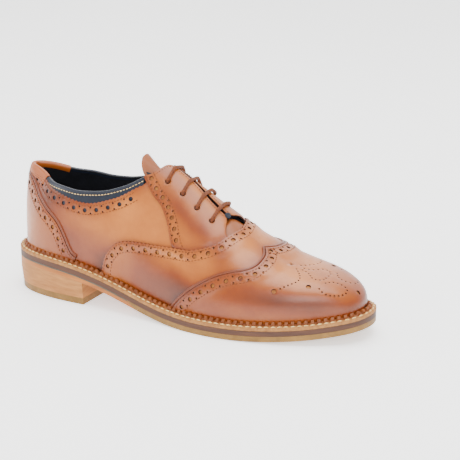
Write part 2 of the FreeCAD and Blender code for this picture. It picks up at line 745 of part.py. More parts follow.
def heel_lifts():
    """Flat lifts from the top piece up, then the wedge lift that fits under the curved outsole."""
    bores = Part.Compound(nail_bores())
    lifts = []
    for level in range(1, FLAT_LIFTS + 1):
        low = lift_bottom(level)
        lifts.append(heel_slice(level, low, low + HEEL_LIFT).cut(bores))
    low = lift_bottom(FLAT_LIFTS + 1)
    wedge = heel_slice(FLAT_LIFTS + 1, low, TALL / 2)
    lifts.append(wedge.common(slab(SOLE + SOLE_GAP / 2, TALL)).cut(bores))
    return lifts


def heel_top_piece():
    return heel_slice(0, 0.0, TOP_PIECE)


def heel_nails():
    low = TOP_PIECE + SOLE_GAP
    nails = []
    for place in nail_places():
        high = feather_height(place.x) - SOLE - 1.0
        nails.append(Part.makeCylinder(NAIL_RADIUS, high - low, Vector(place.x, place.y, low)))
    return Part.Compound(nails)


# ---- eyelets and lace ---------------------------------------------------------------------------
def rod(u, t, radius, low, high):
    """A cylinder along the last's normal at (u, t), between two offsets."""
    start, end = on_last(u, t, low), on_last(u, t, high)
    return Part.makeCylinder(radius, (end - start).Length, start, end - start)


def eyelet_place(pair, side):
    return pattern(*EYELETS[pair], side)


def eyelets():
    """Blind eyelets: a flange behind the lining and a barrel up into the quarter."""
    barrel = EYELET_BORE + EYELET_WALL
    low = LINING_LAYER[0] - FLANGE_GAP - EYELET_FLANGE[1]
    rings = []
    for side in (-1, 1):
        for pair in range(len(EYELETS)):
            u, t = eyelet_place(pair, side)
            ring = rod(u, t, EYELET_FLANGE[0], low, low + EYELET_FLANGE[1])
            ring = ring.fuse(rod(u, t, barrel, low, BASE_LAYER[1] - 0.1))
            rings.append(ring.cut(rod(u, t, EYELET_BORE, low - 2, BASE_LAYER[1] + 2)))
    return Part.Compound(rings)


def punched(piece, side, radius):
    for pair in range(len(EYELETS)):
        u, t = eyelet_place(pair, side)
        piece = piece.cut(rod(u, t, radius, -8, 8))
    return piece


BAR = COVER_LAYER[1] + BAR_LIFT + LACE / 2        # the lace's middle where it lies on the facings
RUN = LINING_LAYER[0] - FLANGE_GAP - EYELET_FLANGE[1] - 0.15 - LACE / 2   # and under the lining
LACE_CORNER = 1.9        # the lace rounds each corner within this distance of it


# The two ends are tucked away: down the outer side wall and forward along the sock liner (u, t, offset).
UPPER_TAIL = [(172, -0.40, -4.6), (163, -0.54, -4.7), (149, -0.68, -4.6), (131, -0.79, -4.4),
              (111, -0.87, -4.4), (90, -0.91, -4.4), (70, -0.89, -4.9), (53, -0.84, -6.0)]
LOWER_TAIL = [(154, -0.41, -4.7), (143, -0.52, -4.8), (128, -0.62, -4.8), (110, -0.70, -4.6),
              (92, -0.74, -5.0), (75, -0.72, -6.2)]
ARCH = 0.3               # the bars rise this much more where they cross the gap


def lace_route():
    """Straight-bar lacing from one tucked end to the other, as points."""
    def bar(pair, side):
        u, t = eyelet_place(pair, side)
        v, s = eyelet_place(pair, -side)
        middle = [(u + (v - u) * k, t + (s - t) * k, BAR + ARCH) for k in (0.3, 0.7)]
        return [(u, t, RUN), (u, t, BAR)] + middle + [(v, s, BAR), (v, s, RUN)]

    def beside(pair, shift):
        u, t = eyelet_place(pair, 1)
        return [(u, t + shift, RUN)]
    route = UPPER_TAIL[::-1] + bar(3, -1) + beside(2, 0.075) + bar(1, 1) + bar(0, -1) + beside(1, -0.075)
    route += bar(2, 1) + LOWER_TAIL
    return [on_last(*stop) for stop in route]


def rounded_path(points):
    """Straight runs joined by tangent arcs, each as large as its two runs allow, and the radii."""
    edges, radii = [], []
    start = points[0]
    for before, corner, after in zip(points, points[1:], points[2:]):
        back, ahead = before - corner, after - corner
        turn = math.pi - back.getAngle(ahead)
        reach = min(LACE_CORNER, 0.45 * min(back.Length, ahead.Length))
        radius = reach / math.tan(turn / 2)
        radii.append(radius)
        first = corner + Vector(back).normalize() * reach
        second = corner + Vector(ahead).normalize() * reach
        inward = (Vector(back).normalize() + Vector(ahead).normalize()).normalize()
        centre = corner + inward * (radius / math.cos(turn / 2))
        middle = centre - inward * radius
        edges.append(Part.makeLine(start, first))
        edges.append(Part.Arc(first, middle, second).toShape())
        start = second
    edges.append(Part.makeLine(start, points[-1]))
    return edges, radii


def tube(points, radius):
    """A round cord: a cylinder on each run and a piece of a torus on each arc, joined into one."""
    edges, radii = rounded_path(points)
    path = Part.Wire(edges)
    first = edges[0]
    along = first.tangentAt(first.FirstParameter)
    ring = Part.Wire([Part.Circle(points[0], along, radius).toShape()])
    return path.makePipeShell([ring], True, True), path.Length, radii


def lace_and_aglets():
    points = lace_route()
    cord, length, radii = tube(points, LACE / 2)
    share = cord.Volume / (math.pi * LACE ** 2 / 4 * length)
    print("lace length %.1f, volume over section times length %.4f" % (length, share))
    print("lace radii", " ".join("%.1f" % r for r in radii))
    tips = []
    for end, before in ((points[0], points[1]), (points[-1], points[-2])):
        tips.append(Part.makeCylinder(AGLET[0], AGLET[1], end, end - before))
    return cord, Part.Compound(tips)


def throat_tack():
    """A short bar of thread that holds the two facings together at the bottom of the gap."""
    u, reach = 127.0, 0.085
    ends = [on_last(*pattern(u, reach, side), COVER_LAYER[1] + TACK + 0.3) for side in (-1, 1)]
    return Part.makeCylinder(TACK, (ends[1] - ends[0]).Length, ends[0], ends[1] - ends[0])


# ---- everything ---------------------------------------------------------------------------------
def all_pieces():
    pieces = {
        "wing_cap": wing_cap(), "wing_piping": wing_piping(), "vamp": vamp(), "vamp_lining": vamp_lining(),
        "toe_puff": toe_puff(), "counter_cover": counter_cover(), "counter_piping": counter_piping(),
        "heel_stiffener": heel_stiffener(), "heel_tab": heel_tab(),
        "tongue": tongue_piece(0.0, TONGUE_LEATHER),
        "tongue_lining": tongue_piece(TONGUE_LEATHER + SOLE_GAP, TONGUE_LINING),
        "throat_tack": throat_tack(), "eyelets": eyelets(),
        "insole": insole(), "sock_liner": sock_liner(), "insole_rib": insole_rib(), "shank": shank(),
        "cork_filler": cork_filler(), "welt": welt(), "storm_rib": storm_rib(),
        "welt_stitching": welt_stitching(), "midsole": midsole(), "slip_sole": slip_sole(),
        "outsole": outsole(), "forefoot_sole": forefoot_sole(), "heel_top_piece": heel_top_piece(),
        "heel_nails": heel_nails(),
    }
    barrel = EYELET_BORE + EYELET_WALL + EYELET_FIT
    for name, side in (("outer", -1), ("inner", 1)):
        pieces["quarter_" + name] = punched(quarter(side), side, barrel)
        pieces["quarter_lining_" + name] = punched(quarter_lining(side), side, barrel)
        pieces["eyelet_stay_" + name] = punched(eyelet_stay(side), side, barrel)
        pieces["facing_" + name] = punched(facing(side), side, EYELET_BORE)
        pieces["collar_" + name] = collar(side)
    for level, lift in enumerate(heel_lifts(), 1):
        pieces["heel_lift_%d" % level] = lift
    pieces["lace"], pieces["lace_aglets"] = lace_and_aglets()
    return pieces


def main():
    pieces = all_pieces()
    whole = Part.Compound(list(pieces.values())).BoundBox
    under_middle = Vector(-(whole.XMin + whole.XMax) / 2, -(whole.YMin + whole.YMax) / 2, -whole.ZMin)
    print("moved by", under_middle)
    os.makedirs("parts", exist_ok=True)
    for name, shape in pieces.items():
        shape.translate(under_middle)
        print("%-22s solids %d  volume %9.1f  valid %s" % (name, len(shape.Solids), shape.Volume,
                                                          shape.isValid()))
        shape.exportStep("parts/" + name + ".step")
    hinge = under_last(TONGUE_START, 0, tongue_depth(TONGUE_START) + TONGUE_LEATHER / 2) + under_middle
    print("tongue hinge at", hinge)
    print("size", whole.XLength, whole.YLength, whole.ZLength)


main()
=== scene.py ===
"""The visual model of a man's welted brogue oxford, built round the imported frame.

Lengths inside the modelling functions are millimetres in the shoemaker's frame of the CAD model:
u runs along the feather line from the toe tip, t runs from -1 (outer feather line) over the ridge
of the last to +1 (inner feather line). Meshes are written in metres in the row frame.
"""
import bpy
import math
import numpy as np
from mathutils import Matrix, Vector
from mathutils.geometry import delaunay_2d_cdt
from mathutils.kdtree import KDTree
import bmesh


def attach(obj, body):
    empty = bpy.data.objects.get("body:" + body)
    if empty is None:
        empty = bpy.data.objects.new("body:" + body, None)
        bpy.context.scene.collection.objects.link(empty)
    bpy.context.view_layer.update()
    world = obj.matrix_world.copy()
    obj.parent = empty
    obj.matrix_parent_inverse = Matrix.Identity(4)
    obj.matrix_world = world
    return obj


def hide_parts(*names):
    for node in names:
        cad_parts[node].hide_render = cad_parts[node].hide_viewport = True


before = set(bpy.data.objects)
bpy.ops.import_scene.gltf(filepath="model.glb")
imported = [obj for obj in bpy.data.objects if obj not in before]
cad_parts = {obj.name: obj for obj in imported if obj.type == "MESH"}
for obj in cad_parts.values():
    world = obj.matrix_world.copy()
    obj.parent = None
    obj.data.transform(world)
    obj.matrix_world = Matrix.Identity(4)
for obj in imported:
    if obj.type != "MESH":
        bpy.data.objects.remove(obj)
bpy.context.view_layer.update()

# ---- the last, as in the CAD model ----------------------------------------------------------------
# Stations from toe to heel. Each has the feather line's (x, y) on the outer and on the inner side, the
# ridge's (x, y, z), the side wall's bulge, the height share of the bulge, the width and height share of
# the shoulder, and the width share and drop beside the ridge.
STATIONS = [
    ((285.5, -9.5), (284.5, 17.0), (286, 6.0, 33.0), 1.0, 0.35, 0.95, 0.78, 0.50, 0.0),
    ((272, -21.0), (272.5, 27.2), (275, 6.0, 40.0), 1.5, 0.34, 0.97, 0.80, 0.55, 0.2),
    ((254, -30.5), (256, 36.0), (258, 6.0, 44.5), 2.5, 0.32, 0.99, 0.80, 0.58, 0.4),
    ((232, -38.5), (234, 42.0), (235, 6.0, 49.5), 3.0, 0.28, 0.97, 0.76, 0.58, 1.2),
    ((207, -44.0), (208, 44.0), (206, 5.0, 62.0), 3.5, 0.22, 0.94, 0.64, 0.54, 3.0),
    ((180, -45.5), (178, 40.0), (175, 3.5, 82.0), 3.0, 0.20, 0.87, 0.53, 0.44, 6.0),
    ((152, -42.5), (148, 31.5), (146, 2.0, 102.0), 3.0, 0.20, 0.83, 0.51, 0.38, 7.5),
    ((122, -37.5), (118, 27.0), (120, 1.0, 117.0), 3.5, 0.22, 0.84, 0.52, 0.36, 7.0),
    ((90, -34.0), (88, 28.5), (96, 0.0, 124.0), 3.5, 0.25, 0.82, 0.58, 0.40, 4.0),
    ((55, -33.0), (55, 31.0), (70, 0.0, 125.0), 3.0, 0.28, 0.80, 0.64, 0.45, 2.0),
    ((22, -29.0), (22, 29.0), (42, 0.0, 123.0), 3.0, 0.30, 0.78, 0.68, 0.48, 2.0),
    ((1, -17.5), (1, 17.5), (22, 0.0, 119.0), 3.2, 0.30, 0.74, 0.70, 0.50, 2.0),
]
TOE_TIP = (289.5, 4.5)
HEEL_BACK = (-5.0, 5.0, 15.0, 117.0)
BALL = 180.0
RISE = [(-10, 1.0), (30, 0.975), (60, 0.85), (90, 0.575), (120, 0.255), (150, 0.045), (BALL, 0.0),
        (205, 0.03), (230, 0.145), (260, 0.415), (300, 1.0)]
HEEL_RISE, TOE_SPRING, SOLE = 23.6, 11.1, 11.2

CENTRE_LINE = [(0, -0.19), (60, -0.15), (96, -0.122), (127, -0.097), (136, -0.079), (146, -0.043),
               (152, -0.005), (160, 0.035), (178, 0.07), (200, 0.05), (222, 0.01), (240, 0.0), (330, 0.0)]
WING_EDGE = [(0, 96), (0.08, 93), (0.24, 91.3), (0.37, 92.9), (0.48, 99), (0.56, 108), (0.64, 117.5),
             (0.73, 127.5), (0.82, 138), (0.90, 147.5), (1.0, 160)]
VAMP_EDGE = [(0, 115.3), (0.10, 116.4), (0.235, 119.2), (0.377, 124.3), (0.471, 131), (0.554, 140),
             (0.639, 153), (0.686, 164), (0.726, 177), (0.762, 191.5), (0.81, 209), (0.851, 217),
             (0.897, 222.5), (0.94, 225.5), (1.0, 227)]
TOP_EDGE = [(112, 0.225), (116, 0.226), (119.5, 0.225), (122, 0.20), (123.6, 0.145), (125, 0.08),
            (127, 0.035), (131, 0.024), (145, 0.026), (160, 0.028), (173, 0.032), (180, 0.045),
            (183, 0.10), (186, 0.205), (189, 0.285), (192, 0.335), (196, 0.372), (200, 0.402),
            (209, 0.472), (222, 0.544), (235, 0.60), (248, 0.635), (262, 0.657), (276, 0.655),
            (303, 0.615), (317, 0.56), (328, 0.545)]
COLLAR_SEAM = [(192, 0.415), (196, 0.446), (205, 0.507), (217, 0.587), (230, 0.65), (243, 0.70), (258, 0.72),
               (272, 0.71), (296, 0.663), (315, 0.60), (328, 0.59)]
COUNTER_TOP = [(250, 0.975), (256, 0.965), (262, 0.925), (271, 0.865), (284, 0.82), (297, 0.78),
               (310, 0.725), (317, 0.67), (322, 0.64), (328, 0.625)]
FACING_REAR = [(160, 0.68), (162, 0.665), (164, 0.642), (167, 0.598), (171, 0.556), (177.5, 0.513),
               (186.5, 0.488), (193.5, 0.45), (200, 0.402)]
EYELETS = [(133.7, 0.231), (147.3, 0.269), (161.4, 0.305), (176.9, 0.322)]

BASE = (0.0, 1.15)       # offsets of the first and second leather from the last
COVER = (1.3, 2.45)
FACE_STEP = 2.3          # spacing of the points inside a leather's face
EDGE_ROUND = 0.38        # radius of a leather's cut edge
CLEAR, HOLE_CLEAR = 0.55, 0.6    # face points keep this far from an edge and from a hole's rim


def spline(points):
    """The natural cubic through (x, y) points, with straight ends, for numbers or arrays."""
    xs, ys = np.array(points, float).T
    gaps, size = np.diff(xs), len(xs)
    slopes = np.diff(ys) / gaps
    matrix, right = np.eye(size), np.zeros(size)
    for i in range(1, size - 1):
        matrix[i, i - 1:i + 2] = gaps[i - 1], 2 * (gaps[i - 1] + gaps[i]), gaps[i]
        right[i] = 6 * (slopes[i] - slopes[i - 1])
    bend = np.linalg.solve(matrix, right)

    def value(x):
        x = np.asarray(x, float)
        i = np.clip(np.searchsorted(xs, x, side="right") - 1, 0, size - 2)
        inside = np.clip(x, xs[0], xs[-1])
        s = inside - xs[i]
        first = slopes[i] - gaps[i] * (2 * bend[i] + bend[i + 1]) / 6
        third = (bend[i + 1] - bend[i]) / (6 * gaps[i])
        slope = first + s * (bend[i] + 3 * third * s)
        return ys[i] + s * (first + s * (bend[i] / 2 + s * third)) + slope * (x - inside)

    return value


def smooth(share):
    share = np.clip(share, 0.0, 1.0)
    return share * share * (3 - 2 * share)


rise_share = spline(RISE)
centre_line = spline(CENTRE_LINE)
wing_edge = spline(WING_EDGE)
vamp_edge = spline(VAMP_EDGE)
top_edge = spline(TOP_EDGE)
collar_seam = spline(COLLAR_SEAM)
counter_top = spline(COUNTER_TOP)
facing_rear = spline(FACING_REAR)


def feather_height(x):
    return SOLE + np.where(np.asarray(x) < BALL, HEEL_RISE, TOE_SPRING) * rise_share(x)


def basis(knots, x):
    """Cubic B-spline basis values, one row per x."""
    x = np.clip(x, knots[3], knots[-4] - 1e-9)[:, None]
    values = ((knots[:-1] <= x) & (x < knots[1:])).astype(float)
    for d in (1, 2, 3):
        width = knots[d:] - knots[:-d]
        safe = np.where(width > 0, width, 1.0)
        low = np.where(width[:-1] > 0, (x - knots[:-d - 1]) / safe[:-1], 0) * values[:, :-1]
        high = np.where(width[1:] > 0, (knots[d + 1:] - x) / safe[1:], 0) * values[:, 1:]
        values = low + high
    return values


def last_surface():
    """Control points of the last's cubic surface, its knots along u, and the u of the back seam."""
    rows = [[(*TOE_TIP, feather_height(TOE_TIP[0]))] * 9]
    for outer, inner, (rx, ry, rz), bulge, low, wide, high, crown, drop in STATIONS:
        sides = []
        for x, y in (outer, inner):
            base, out = float(feather_height(x)), y - ry
            height, shift = rz - base, rx - x
            sides.append([(x, y, base),
                          (x + 0.15 * shift, y + math.copysign(bulge, out), base + low * height),
                          (x + 0.55 * shift, ry + out * wide, base + high * height),
                          (x + 0.95 * shift, ry + out * crown, rz - drop)])
        rows.append(sides[0] + [(rx, ry, rz)] + sides[1][::-1])
    x, bulge, rx, rz = HEEL_BACK
    base = float(feather_height(x))
    height = rz - base
    side = [(x, 0, base), (x - bulge, 0, base + 0.30 * height), (x - 1, 0, base + 0.72 * height),
            (x + 5, 0, rz - 2)]
    rows.append(side + [(rx, 0, rz)] + side[::-1])
    rows = np.array(rows, float)
    plan = [np.diff(rows[:, k, :2], axis=0) for k in (0, 8)]
    stops = np.r_[0, np.cumsum(sum(np.hypot(*p.T) for p in plan) / 2)]
    turn = np.pi * np.array([1, 0.86, 0.72, 0.60, 0.5, 0.40, 0.28, 0.14, 0])
    fan = np.c_[turn * 0, 1.12 * np.cos(turn), 1.5 * np.sin(turn)]
    tail = np.c_[turn * 0, 1.05 * np.array([1, 1.1, 1, 0.75, 0, -0.75, -1, -1.1, -1]), turn * 0]
    tail[4] = -1, 0, -0.1
    knots = np.r_[[stops[0]] * 3, stops, [stops[-1]] * 3]
    size = len(rows) + 2
    matrix = np.zeros((size, size))
    matrix[0, 0] = matrix[-1, -1] = 1
    matrix[1, :2] = np.array([-3, 3]) / (knots[4] - knots[1])
    matrix[-2, -2:] = np.array([-3, 3]) / (knots[size + 2] - knots[size - 1])
    matrix[2:-2] = basis(knots, stops[1:-1])
    wanted = np.concatenate([rows[:1], fan[None], rows[1:-1], tail[None], rows[-1:]])
    return np.tensordot(np.linalg.inv(matrix), wanted, 1), knots, float(stops[-1])


POLES, KNOTS, BACK = last_surface()
ACROSS = np.r_[[0.0] * 3, np.linspace(0, 1, 7), [1.0] * 3]


def last_point(u, t):
    return np.einsum("ni,nj,ijk->nk", basis(KNOTS, u), basis(ACROSS, (t + 1) / 2), POLES)


def frame_at(u, t):
    """Points, derivatives along u and t, and outward normals; u may run on past the back seam."""
    u, t = (np.atleast_1d(np.asarray(v, float)) for v in (u, t))
    u, t = np.broadcast_arrays(u, t)
    past = u > BACK
    sign = np.where(past, -1.0, 1.0)[:, None]
    u, t = np.where(past, 2 * BACK - u, u), np.clip(np.where(past, -t, t), -1, 1)
    step_u, step_t = 0.05, 0.0005
    u0, u1 = np.clip(u - step_u, 0.02, BACK), np.clip(u + step_u, 0.04, BACK)
    t0, t1 = np.clip(t - step_t, -1, 1), np.clip(t + step_t, -1, 1)
    along = (last_point(u1, t) - last_point(u0, t)) / (u1 - u0)[:, None]
    over = (last_point(u, t1) - last_point(u, t0)) / (t1 - t0)[:, None]
    normal = np.cross(over, along)
    normal /= np.linalg.norm(normal, axis=1)[:, None] + 1e-12
    return last_point(u, t), along * sign, over * sign, normal


def on_last(u, t, offset=0.0):
    points, _, _, normals = frame_at(u, t)
    return points + normals * np.reshape(offset, (-1, 1))


def pattern_t(u, distance, side):
    """t at a distance from the pattern's centre line; side is -1 outer, +1 inner."""
    middle = centre_line(u)
    return middle + side * distance * (1 - side * middle)


PLAN_OUT = -1.0          # turns the plan's normals outwards


def feather_plan(steps):
    """The feather line in plan, once round from the toe tip along the outer side."""
    u = np.linspace(0, 2 * BACK, steps, endpoint=False)
    here = on_last(u, np.full(steps, -1.0))[:, :2]
    along = np.roll(here, -1, 0) - np.roll(here, 1, 0)
    along /= np.linalg.norm(along, axis=1)[:, None]
    return here, np.c_[along[:, 1], -along[:, 0]] * PLAN_OUT


SHIFT = np.array([-142.268, 0.777, 0.010])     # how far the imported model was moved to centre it


def to_row(points):
    return (np.asarray(points, float) + SHIFT) / 1000.0


# ---- paths on the last --------------------------------------------------------------------------
def lengths(path, closed=False):
    """The run along the leather at each point of a path, and once more at the start if it is closed."""
    points = on_last(*path.T)
    if closed:
        points = np.r_[points, points[:1]]
    return np.r_[0, np.cumsum(np.linalg.norm(np.diff(points, axis=0), axis=1))]


def resampled(path, step, closed=False):
    """The path again with even steps along the leather."""
    run = lengths(path, closed)
    count = max(2, int(round(run[-1] / step)))
    stops = np.linspace(0, run[-1], count + 1)
    source = np.r_[path, path[:1]] if closed else path
    result = np.c_[np.interp(stops, run, source[:, 0]), np.interp(stops, run, source[:, 1])]
    return result[:-1] if closed else result


def sideways(path, distance, closed=False):
    """The path moved across the leather; forwards along +u, a positive distance moves towards +t."""
    points, along, over, normal = frame_at(*path.T)
    if closed:
        run = np.roll(points, -1, 0) - np.roll(points, 1, 0)
    else:
        run = np.gradient(points, axis=0)
    side = np.cross(run, normal)
    side /= np.linalg.norm(side, axis=1)[:, None] + 1e-12
    return shifted(path, side * np.reshape(distance, (-1, 1)), along, over)


def shifted(path, move, along, over):
    """(u, t) after a small move in the tangent plane."""
    aa, ao, oo = (along * along).sum(1), (along * over).sum(1), (over * over).sum(1)
    ma, mo = (move * along).sum(1), (move * over).sum(1)
    det = aa * oo - ao * ao + 1e-12
    return path + np.c_[(ma * oo - mo * ao) / det, (mo * aa - ma * ao) / det]


def beside(path, distance):
    """A parallel of an open path, moved in small steps so that it stays parallel."""
    steps = max(1, int(abs(distance) / 1.5))
    for _ in range(steps):
        path = resampled(sideways(path, distance / steps), 1.5)
    return path


def ring(centre, radius, count, turn=0.0):
    """A round hole's rim of that radius about a centre, as (u, t)."""
    path = np.repeat(np.array([centre], float), count, 0)
    _, along, over, normal = frame_at(*path.T)
    first = along / np.linalg.norm(along, axis=1)[:, None]
    second = np.cross(normal, first)
    angle = (turn + np.arange(count) / count * 2 * math.pi)[:, None]
    return shifted(path, (first * np.cos(angle) + second * np.sin(angle)) * radius, along, over)


def across(edge, reach=1.0):
    """An edge given as u over the distance from the centre line, from the outer to the inner side."""
    share = np.linspace(-reach, reach, 161)
    u = edge(np.abs(share))
    return np.c_[u, pattern_t(u, np.abs(share), np.sign(share))]


# ---- meshes -------------------------------------------------------------------------------------
def add_piece(name, points, faces, materials, body="shoe", kinds=None, burnish_and_painted_light=None, stands_for=(),
              slot=None, angle=40):
    """A mesh piece from points in the shoemaker's frame, riding on a body."""
    mesh = bpy.data.meshes.new(name)
    mesh.from_pydata(to_row(points).tolist(), [], faces)
    shell = bmesh.new()
    shell.from_mesh(mesh)
    bmesh.ops.recalc_face_normals(shell, faces=shell.faces)
    shell.to_mesh(mesh)
    shell.free()
    for material in materials:
        mesh.materials.append(material)
    if kinds is not None:
        mesh.polygons.foreach_set("material_index", kinds)
    # The per-point value written here holds the leather's burnish together with painted shade and painted
    # highlights.
    layer = mesh.attributes.new("burnish_and_painted_light", "FLOAT", "POINT")
    layer.data.foreach_set("value", np.zeros(len(points)) if burnish_and_painted_light is None else burnish_and_painted_light)
    mesh.shade_smooth()
    mesh.set_sharp_from_angle(angle=math.radians(angle))
    mesh.update()
    piece = bpy.data.objects.new(name, mesh)
    bpy.context.scene.collection.objects.link(piece)
    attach(piece, body)
    if stands_for:
        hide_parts(*stands_for)
    return piece


CHART_WIDTH = 70         # a flat chart of the leather counts one unit of t as this many mm
GIRTH = 75               # one unit of pattern distance is about this many mm


def strip_chart(path):
    return path * (1, CHART_WIDTH)


def strip_back(points):
    return points / (1, CHART_WIDTH)


def toe_chart(path):
    angle = path[:, 1] * math.pi / 2
    return np.c_[-np.cos(angle), np.sin(angle)] * path[:, :1]


def toe_back(points):
    return np.c_[np.hypot(*points.T), np.arctan2(points[:, 1], -points[:, 0]) * 2 / math.pi]


def area(points):
    """The signed area of a closed outline on a flat chart."""
    x, y = points.T
    return 0.5 * (x * np.roll(y, -1) - y * np.roll(x, -1)).sum()


def inside_outline(points, outline):
    """Whether each point lies inside a closed outline."""
    x, y = points.T
    hits = np.zeros(len(points), int)
    for (ax, ay), (bx, by) in zip(outline, np.roll(outline, -1, 0)):
        if ay != by:
            span = (ay > y) != (by > y)
            hits += span & (x < (bx - ax) * (y - ay) / (by - ay) + ax)
    return hits % 2 == 1


def moved_in(loop, distance, chart, shrink=True):
    """A closed loop moved across the leather, to the side where it gets smaller or larger."""
    options = [sideways(loop, distance, True), sideways(loop, -np.asarray(distance), True)]
    sizes = [abs(area(chart(path))) for path in options]
    return options[int(np.argmin(sizes) if shrink else np.argmax(sizes))]


def face_points(u_span, t_span, step):
    """Staggered rows of points over a range of the last, about one step apart on the leather."""
    rows = []
    for k, u in enumerate(np.arange(u_span[0], u_span[1], step)):
        t = np.linspace(t_span[0], t_span[1], 40)
        run = lengths(np.c_[np.full(40, u), t])
        count = max(1, int(run[-1] / step))
        stops = (np.arange(count) + 0.25 + 0.5 * (k % 2)) / count * run[-1]
        rows.append(np.c_[np.full(count, u + 0.01), np.interp(stops, run, t)])
    return np.concatenate(rows)


def tree_of(points):
    finder = KDTree(len(points))
    for k, point in enumerate(points):
        finder.insert(point, k)
    finder.balance()
    return finder


def hole_rims(pits, through):
    """The loops of the punched holes, as (rim, lip's outer edge, lip radius, has a floor)."""
    rims = []
    for holes, has_floor in ((pits, True), (through, False)):
        for u, t, radius in holes:
            count = 14 if radius > 1 else 7
            lip = min(0.28, 0.4 * radius)
            rims.append((ring((u, t), radius, count), ring((u, t), radius + lip, count), lip, has_floor))
    return rims


def face_grid(outline, inner_chart, to_chart, step, borders, holes):
    """Points over the inside of a leather, clear of its edge and of its holes."""
    grid = face_points((max(1.5, outline[:, 0].min()), outline[:, 0].max()),
                       (outline[:, 1].min(), outline[:, 1].max()), step)
    grid = grid[inside_outline(to_chart(grid), inner_chart)]
    finder = tree_of(on_last(*borders.T))
    border_gap = np.array([finder.find(p)[2] for p in on_last(*grid.T)])
    grid = grid[border_gap > CLEAR]
    if len(holes):
        centres = np.array(holes, float)
        hubs = tree_of(on_last(centres[:, 0], centres[:, 1]))
        near = map(hubs.find, on_last(*grid.T))
        grid = grid[[d > centres[k, 2] + HOLE_CLEAR for _, k, d in near]]
    return grid


def triangulated(loops, borders, grid, inner_chart, to_chart):
    """The face's chart points and triangles, and where each border point ended up."""
    edges, owners, start = [], [], 0
    for number, (_, inset, _, _) in enumerate(loops):
        count = len(inset)
        edges += [(start + k, start + (k + 1) % count) for k in range(count)]
        owners += [number] * count
        start += count
    flat = to_chart(np.concatenate([borders, grid]))
    found, _, triangles, origins, _, _ = delaunay_2d_cdt([Vector(p) for p in flat], edges, [], 0, 1e-6)
    flat = np.array([tuple(p) for p in found])
    place = {source: k for k, sources in enumerate(origins) for source in sources}
    owner = np.full(len(flat), -1)
    for k, number in enumerate(owners):
        if number:
            owner[place[k]] = number
    triangles = np.array(triangles)
    inside = inside_outline(flat[triangles].mean(1), inner_chart)
    first, second, third = owner[triangles].T
    over_hole = (first > 0) & (first == second) & (first == third)
    triangles = triangles[inside & ~over_hole]
    used, compact = np.unique(triangles, return_inverse=True)
    renumber = {int(k): n for n, k in enumerate(used)}
    return flat[used], compact.reshape(-1, 3), [renumber[place[k]] for k in range(len(owners))]


def leather(name, outline, pits, slots, top, bottom, chart=(strip_chart, strip_back), step=FACE_STEP,
            through=(), burnish_and_painted_light=None, rim=EDGE_ROUND, **facts):
    """A leather piece with rounded cut edges and punched holes. The outline and the holes' centres are
    (u, t); a pit is (u, t, radius) and shows the underlay at its floor, and a through hole is open."""
    to_chart, from_chart = chart
    loops = [(outline, moved_in(outline, rim, to_chart), rim, False)] + hole_rims(pits, through)
    borders = np.concatenate([inset for _, inset, _, _ in loops])
    inner_chart = to_chart(loops[0][1])
    grid = face_grid(outline, inner_chart, to_chart, step, borders, [*pits, *through])
    flat, triangles, border_place = triangulated(loops, borders, grid, inner_chart, to_chart)
    face = from_chart(flat)
    points, count = [on_last(*face.T, top(*face.T)), on_last(*face.T, bottom(*face.T))], len(face)
    faces = [list(f) for f in triangles] + [list(f[::-1] + count) for f in triangles]
    kinds = [0] * len(faces)
    where = [face, face]
    total, start = 2 * count, 0
    for wall, inset, lip, has_floor in loops:
        size = len(wall)
        upper = border_place[start:start + size]
        lower = [n + count for n in upper]
        start += size
        middle = inset + (wall - inset) * 0.7
        points += [on_last(*middle.T, top(*middle.T) - 0.3 * lip), on_last(*wall.T, top(*wall.T) - lip)]
        points[1][upper] = on_last(*wall.T, bottom(*wall.T))
        where += [middle, wall]
        rings = [upper, list(range(total, total + size)), list(range(total + size, total + 2 * size)), lower]
        total += 2 * size
        for one, two in zip(rings, rings[1:]):
            turned = one[1:] + one[:1], two[1:] + two[:1]
            faces += [list(quad) for quad in zip(one, two, turned[1], turned[0])]
            kinds += [0 if one is upper and wall is outline else 2] * size
        if has_floor:
            faces.append(lower)
            kinds.append(1)
    points = np.concatenate(points)
    where = np.concatenate(where)
    shade = np.zeros(len(points)) if burnish_and_painted_light is None else burnish_and_painted_light(*where.T)
    return add_piece(name, points, faces, slots, kinds=kinds, burnish_and_painted_light=shade, **facts)


def swept(name, sections, materials, closed=False, kinds=None, **facts):
    """A piece swept through matching sections; sections has one ring of points per centre."""
    rings, size = len(sections), len(sections[0])
    points = np.concatenate(sections)
    faces, marks = [], []
    for k in range(rings if closed else rings - 1):
        one, two = k * size, (k + 1) % rings * size
        for m in range(size):
            n = (m + 1) % size
            faces.append([one + m, one + n, two + n, two + m])
            marks.append(0 if kinds is None else kinds[m])
    if not closed:
        faces += [list(range(size)), list(range((rings - 1) * size, rings * size))]
        marks += [0, 0]
    return add_piece(name, points, faces, materials, kinds=marks, **facts)


def edge_frames(path, offset, closed=False):
    """Points over a path on the last, with the run, the side and the outward normal at each."""
    points, _, _, normal = frame_at(*path.T)
    points = points + normal * np.reshape(offset, (-1, 1))
    run = np.roll(points, -1, 0) - np.roll(points, 1, 0) if closed else np.gradient(points, axis=0)
    run /= np.linalg.norm(run, axis=1)[:, None]
    side = np.cross(run, normal)
    side /= np.linalg.norm(side, axis=1)[:, None]
    return points, run, side, np.cross(side, run)


def bead(name, path, offset, width, height, materials, count=10, **facts):
    """A raised cord along a path: a half-round section with its feet in the leather."""
    points, _, side, normal = edge_frames(path, offset)
    angle = np.linspace(0, 2 * math.pi, count, endpoint=False)
    sections = [p + np.outer(np.cos(angle) * width / 2, s) + np.outer(np.sin(angle) * height, n)
                for p, s, n in zip(points, side, normal)]
    return swept(name, sections, materials, **facts)


